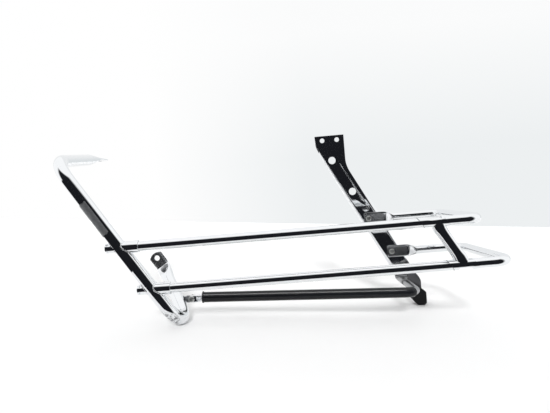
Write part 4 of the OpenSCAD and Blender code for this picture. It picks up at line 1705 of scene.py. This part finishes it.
class GUARD_OT_stage(bpy.types.Operator):
    """White table, pale wall, soft lights and the camera"""

    bl_idname = "guard.stage"
    bl_label = "Stage"

    def execute(self, context):
        scene = context.scene
        scene.view_settings.view_transform = "Standard"
        self.table(scene)
        self.lights(scene)
        self.camera(scene)
        return {"FINISHED"}

    def table(self, scene):
        """The guard stands on the foot of its hoop and on its boot, on a white table."""
        finish = scene.guard_finish
        hoop = lowest_point("hoop_tube")
        boot = lowest_point("foot_boot_moulding")
        slope = (boot.z - hoop.z) / (boot.x - hoop.x)

        def sheet(name, corners, material):
            mesh = bpy.data.meshes.new(name)
            spots = [(x, y, hoop.z + slope * (x - hoop.x) + z) for x, y, z in corners]
            mesh.from_pydata(spots, [], [tuple(range(len(spots)))])
            mesh.materials.append(material)
            made = bpy.data.objects.new(name, mesh)
            scene.collection.objects.link(made)
            return made

        white = table_top(finish.table)
        left, right, edge, back, front = -0.58, 3.0, -0.36, 3.2, -1.1
        sheet("table_top", [(left, edge, 0), (right, edge, 0), (right, back, 0), (left, back, 0)], white)
        # The rest of the table lies in the shade of the room, so the chrome mirrors the dark room there
        shaded = [
            (-3, front, 0),
            (right, front, 0),
            (right, edge, 0),
            (left, edge, 0),
            (left, back, 0),
            (-3, back, 0),
        ]
        sheet("table_front", shaded, white).visible_glossy = False
        corners = [(-6, back, -0.6), (6, back, -0.6), (6, back, 4), (-6, back, 4)]
        sheet("wall", corners, pale_wall(finish.wall))

    def lights(self, scene):
        world = bpy.data.worlds.new("soft room")
        scene.world = world
        world.use_nodes = True
        tree = world.node_tree
        tree.nodes.clear()
        place = add_node(tree, "ShaderNodeTexCoord")
        split = add_node(tree, "ShaderNodeSeparateXYZ", links=[(place, "Generated", "Vector")])
        # The room behind the lens is dark from 51 degrees below level to 43 degrees above it,
        # and below level the dark reaches round to the left
        high = add_node(
            tree,
            "ShaderNodeMapRange",
            inputs={"From Min": 0.62, "From Max": 0.74, "To Min": 0.0, "To Max": 1.0},
            links=[(split, "Z", "Value")],
        )
        low = add_node(
            tree,
            "ShaderNodeMapRange",
            inputs={"From Min": -0.84, "From Max": -0.72, "To Min": 1.0, "To Max": 0.0},
            links=[(split, "Z", "Value")],
        )
        under = add_node(
            tree,
            "ShaderNodeMapRange",
            inputs={"From Min": -0.30, "From Max": -0.15, "To Min": 0.8, "To Max": 0.0},
            links=[(split, "Z", "Value")],
        )
        leftward = add_node(
            tree,
            "ShaderNodeMath",
            props={"operation": "MINIMUM"},
            inputs={1: 0.0},
            links=[(split, "X", 0)],
        )
        turned = add_node(
            tree,
            "ShaderNodeMath",
            props={"operation": "MULTIPLY_ADD"},
            links=[(leftward, "Value", 0), (under, "Result", 1), (split, "Y", 2)],
        )
        ahead = add_node(
            tree,
            "ShaderNodeMapRange",
            inputs={"From Min": -0.50, "From Max": -0.25, "To Min": 0.0, "To Max": 1.0},
            links=[(turned, "Value", "Value")],
        )
        bright = ahead
        for part in (high, low):
            bright = add_node(
                tree,
                "ShaderNodeMath",
                props={"operation": "MAXIMUM"},
                links=[(bright, bright.outputs[0].name, 0), (part, "Result", 1)],
            )
        tone = add_node(
            tree,
            "ShaderNodeMix",
            props={"data_type": "RGBA"},
            links=[(bright, "Value", "Factor")],
        )
        tone.inputs["A"].default_value = linear("1C1D21")
        tone.inputs["B"].default_value = (1.12, 1.12, 1.12, 1.0)
        room = add_node(
            tree,
            "ShaderNodeBackground",
            inputs={"Strength": 1.0},
            links=[(tone, "Result", "Color")],
        )
        plain = add_node(tree, "ShaderNodeBackground", inputs={"Color": (1, 1, 1, 1), "Strength": 0.70})
        seen = add_node(tree, "ShaderNodeBackground", inputs={"Color": (1, 1, 1, 1), "Strength": 1.0})
        rays = add_node(tree, "ShaderNodeLightPath")
        mirror = add_node(
            tree,
            "ShaderNodeMixShader",
            links=[(rays, "Is Glossy Ray", "Fac"), (plain, "Background", 1), (room, "Background", 2)],
        )
        both = add_node(
            tree,
            "ShaderNodeMixShader",
            links=[(rays, "Is Camera Ray", "Fac"), (mirror, "Shader", 1), (seen, "Background", 2)],
        )
        add_node(tree, "ShaderNodeOutputWorld", links=[(both, "Shader", "Surface")])
        # Soft light from behind the lens, 29 degrees above level
        lamp = bpy.data.lights.new("window behind the lens", "SUN")
        lamp.energy, lamp.angle = 2.1, math.radians(9)
        holder = bpy.data.objects.new("window behind the lens", lamp)
        fall = 0.5
        aim = Vector((0, math.cos(fall), -math.sin(fall)))
        holder.rotation_euler = aim.to_track_quat("-Z", "Y").to_euler()
        holder.visible_glossy = False
        scene.collection.objects.link(holder)
        # A long lamp above the lens draws the bright line along the black sleeve, and lights nothing else
        strip = bpy.data.lights.new("long lamp above the lens", "AREA")
        strip.shape = "RECTANGLE"
        strip.size, strip.size_y = 1.3, 0.4
        strip.energy = 45
        holder = bpy.data.objects.new("long lamp above the lens", strip)
        holder.location = guard_point((400.0, -650.0, 1150.0))
        aim = Vector(guard_point((400.0, 100.0, -150.0))) - holder.location
        holder.rotation_euler = aim.to_track_quat("-Z", "Y").to_euler()
        lit = bpy.data.collections.new("lit by the long lamp")
        lit.objects.link(bpy.data.objects["strut_vinyl_sleeve"])
        holder.light_linking.receiver_collection = lit
        scene.collection.objects.link(holder)

    def camera(self, scene):
        """The lens stands 0.9 m in front of the rails and is rolled, so the rails rise to the right."""
        data = bpy.data.cameras.new("camera")
        data.sensor_width = 36.0
        # In pixels: the picture's width, the focal length, the aim off the middle and the shift
        wide, focal, aim_right, aim_up, shift_right, shift_up = 550, 481.5, 13.0, 11.5, 0.9, 0.2
        data.lens = data.sensor_width * focal / wide
        data.shift_x, data.shift_y = shift_right / wide, shift_up / wide
        lens = (322.4, -900.0, 72.2)
        camera = bpy.data.objects.new("camera", data)
        roll = math.radians(4.83)
        right = Vector((math.cos(roll), 0, -math.sin(roll)))
        above = Vector((math.sin(roll), 0, math.cos(roll)))
        ahead = INBOARD - right * (aim_right / focal) - above * (aim_up / focal)
        ahead.normalize()
        right = square_to(right, ahead)
        above = right.cross(ahead)
        turn = Matrix((right, above, -ahead)).transposed()
        camera.matrix_world = Matrix.Translation(guard_point(lens)) @ turn.to_4x4()
        scene.collection.objects.link(camera)
        scene.camera = camera


def lowest_point(name):
    """The lowest corner of a piece, seen level with the picture."""
    roll = math.radians(4.65)
    above = Vector((math.sin(roll), 0, math.cos(roll)))
    return min((v.co.copy() for v in bpy.data.objects[name].data.vertices), key=lambda p: p.dot(above))


def table_top(colour):
    """Satin white melamine: lit to white, it keeps the shadows of the guard."""
    material, _, shader, _ = new_material("melamine table top, satin white")
    shader.inputs["Base Color"].default_value = colour
    shader.inputs["Roughness"].default_value = 0.7
    shader.inputs["Specular IOR Level"].default_value = 0.1
    return material


def pale_wall(colour):
    """Pale wall with painted shade: nearly white on the left and higher up, shading to a pale cool grey
    behind the bracket arm and low down.
    """
    material, tree, shader, place = new_material("painted plaster wall, pale")
    split = add_node(tree, "ShaderNodeSeparateXYZ", links=[(place, "Object", "Vector")])
    across = add_node(
        tree,
        "ShaderNodeMapRange",
        inputs={"From Min": -1.3, "From Max": 0.1, "To Min": 0.0, "To Max": 1.0},
        links=[(split, "X", "Value")],
    )
    upward = add_node(
        tree,
        "ShaderNodeMapRange",
        inputs={"From Min": 0.2, "From Max": 1.3, "To Min": 1.0, "To Max": 0.25},
        links=[(split, "Z", "Value")],
    )
    # Painted shade on the wall: greyer to the right and towards the table
    grey = add_node(
        tree,
        "ShaderNodeMath",
        props={"operation": "MULTIPLY"},
        links=[(across, "Result", 0), (upward, "Result", 1)],
    )
    tone = add_node(tree, "ShaderNodeMix", props={"data_type": "RGBA"}, links=[(grey, "Value", "Factor")])
    tone.inputs["A"].default_value = (1, 1, 1, 1)
    tone.inputs["B"].default_value = colour
    tree.links.new(tone.outputs["Result"], shader.inputs["Base Color"])
    shader.inputs["Roughness"].default_value = 0.9
    glow = add_node(tree, "ShaderNodeEmission", inputs={"Strength": 1.0}, links=[(tone, "Result", "Color")])
    rays = add_node(tree, "ShaderNodeLightPath")
    seen = add_node(
        tree,
        "ShaderNodeMath",
        props={"operation": "MAXIMUM"},
        links=[(rays, "Is Camera Ray", 0), (rays, "Is Glossy Ray", 1)],
    )
    mixed = add_node(
        tree,
        "ShaderNodeMixShader",
        links=[(seen, "Value", "Fac"), (shader, "BSDF", 1), (glow, "Emission", 2)],
    )
    tree.links.new(mixed.outputs["Shader"], tree.nodes["Material Output"].inputs["Surface"])
    return material


class GUARD_PT_panel(bpy.types.Panel):
    bl_idname = "GUARD_PT_panel"
    bl_label = "Saddlebag guard"
    bl_space_type = "VIEW_3D"
    bl_region_type = "UI"
    bl_category = "Guard"

    def draw(self, context):
        layout, scene = self.layout, context.scene
        for heading, group in (
            ("Hoop", scene.guard_hoop),
            ("Rails", scene.guard_rails),
            ("Bracket", scene.guard_bracket),
            ("Finish", scene.guard_finish),
        ):
            box = layout.box()
            box.label(text=heading)
            for key in group.bl_rna.properties.keys():
                if key not in ("rna_type", "name"):
                    box.prop(group, key)
        for step in STEPS:
            layout.operator(step.bl_idname, text=step.bl_label)


GROUPS = (
    ("guard_hoop", GUARD_PG_hoop),
    ("guard_rails", GUARD_PG_rails),
    ("guard_bracket", GUARD_PG_bracket),
    ("guard_finish", GUARD_PG_finish),
)
STEPS = (
    GUARD_OT_hoop,
    GUARD_OT_film,
    GUARD_OT_sockets,
    GUARD_OT_rail_bolts,
    GUARD_OT_rails,
    GUARD_OT_link,
    GUARD_OT_loops,
    GUARD_OT_arm,
    GUARD_OT_fasteners,
    GUARD_OT_strut,
    GUARD_OT_boot,
    GUARD_OT_hidden,
    GUARD_OT_stage,
)


def register():
    for name, group in GROUPS:
        bpy.utils.register_class(group)
        setattr(bpy.types.Scene, name, bpy.props.PointerProperty(type=group))
    for step in (*STEPS, GUARD_PT_panel):
        bpy.utils.register_class(step)


def unregister():
    for step in reversed((*STEPS, GUARD_PT_panel)):
        bpy.utils.unregister_class(step)
    for name, group in reversed(GROUPS):
        delattr(bpy.types.Scene, name)
        bpy.utils.unregister_class(group)


def main():
    register()
    for step in STEPS:
        group, name = step.bl_idname.split(".")
        getattr(getattr(bpy.ops, group), name)()


if __name__ == "__main__":
    main()
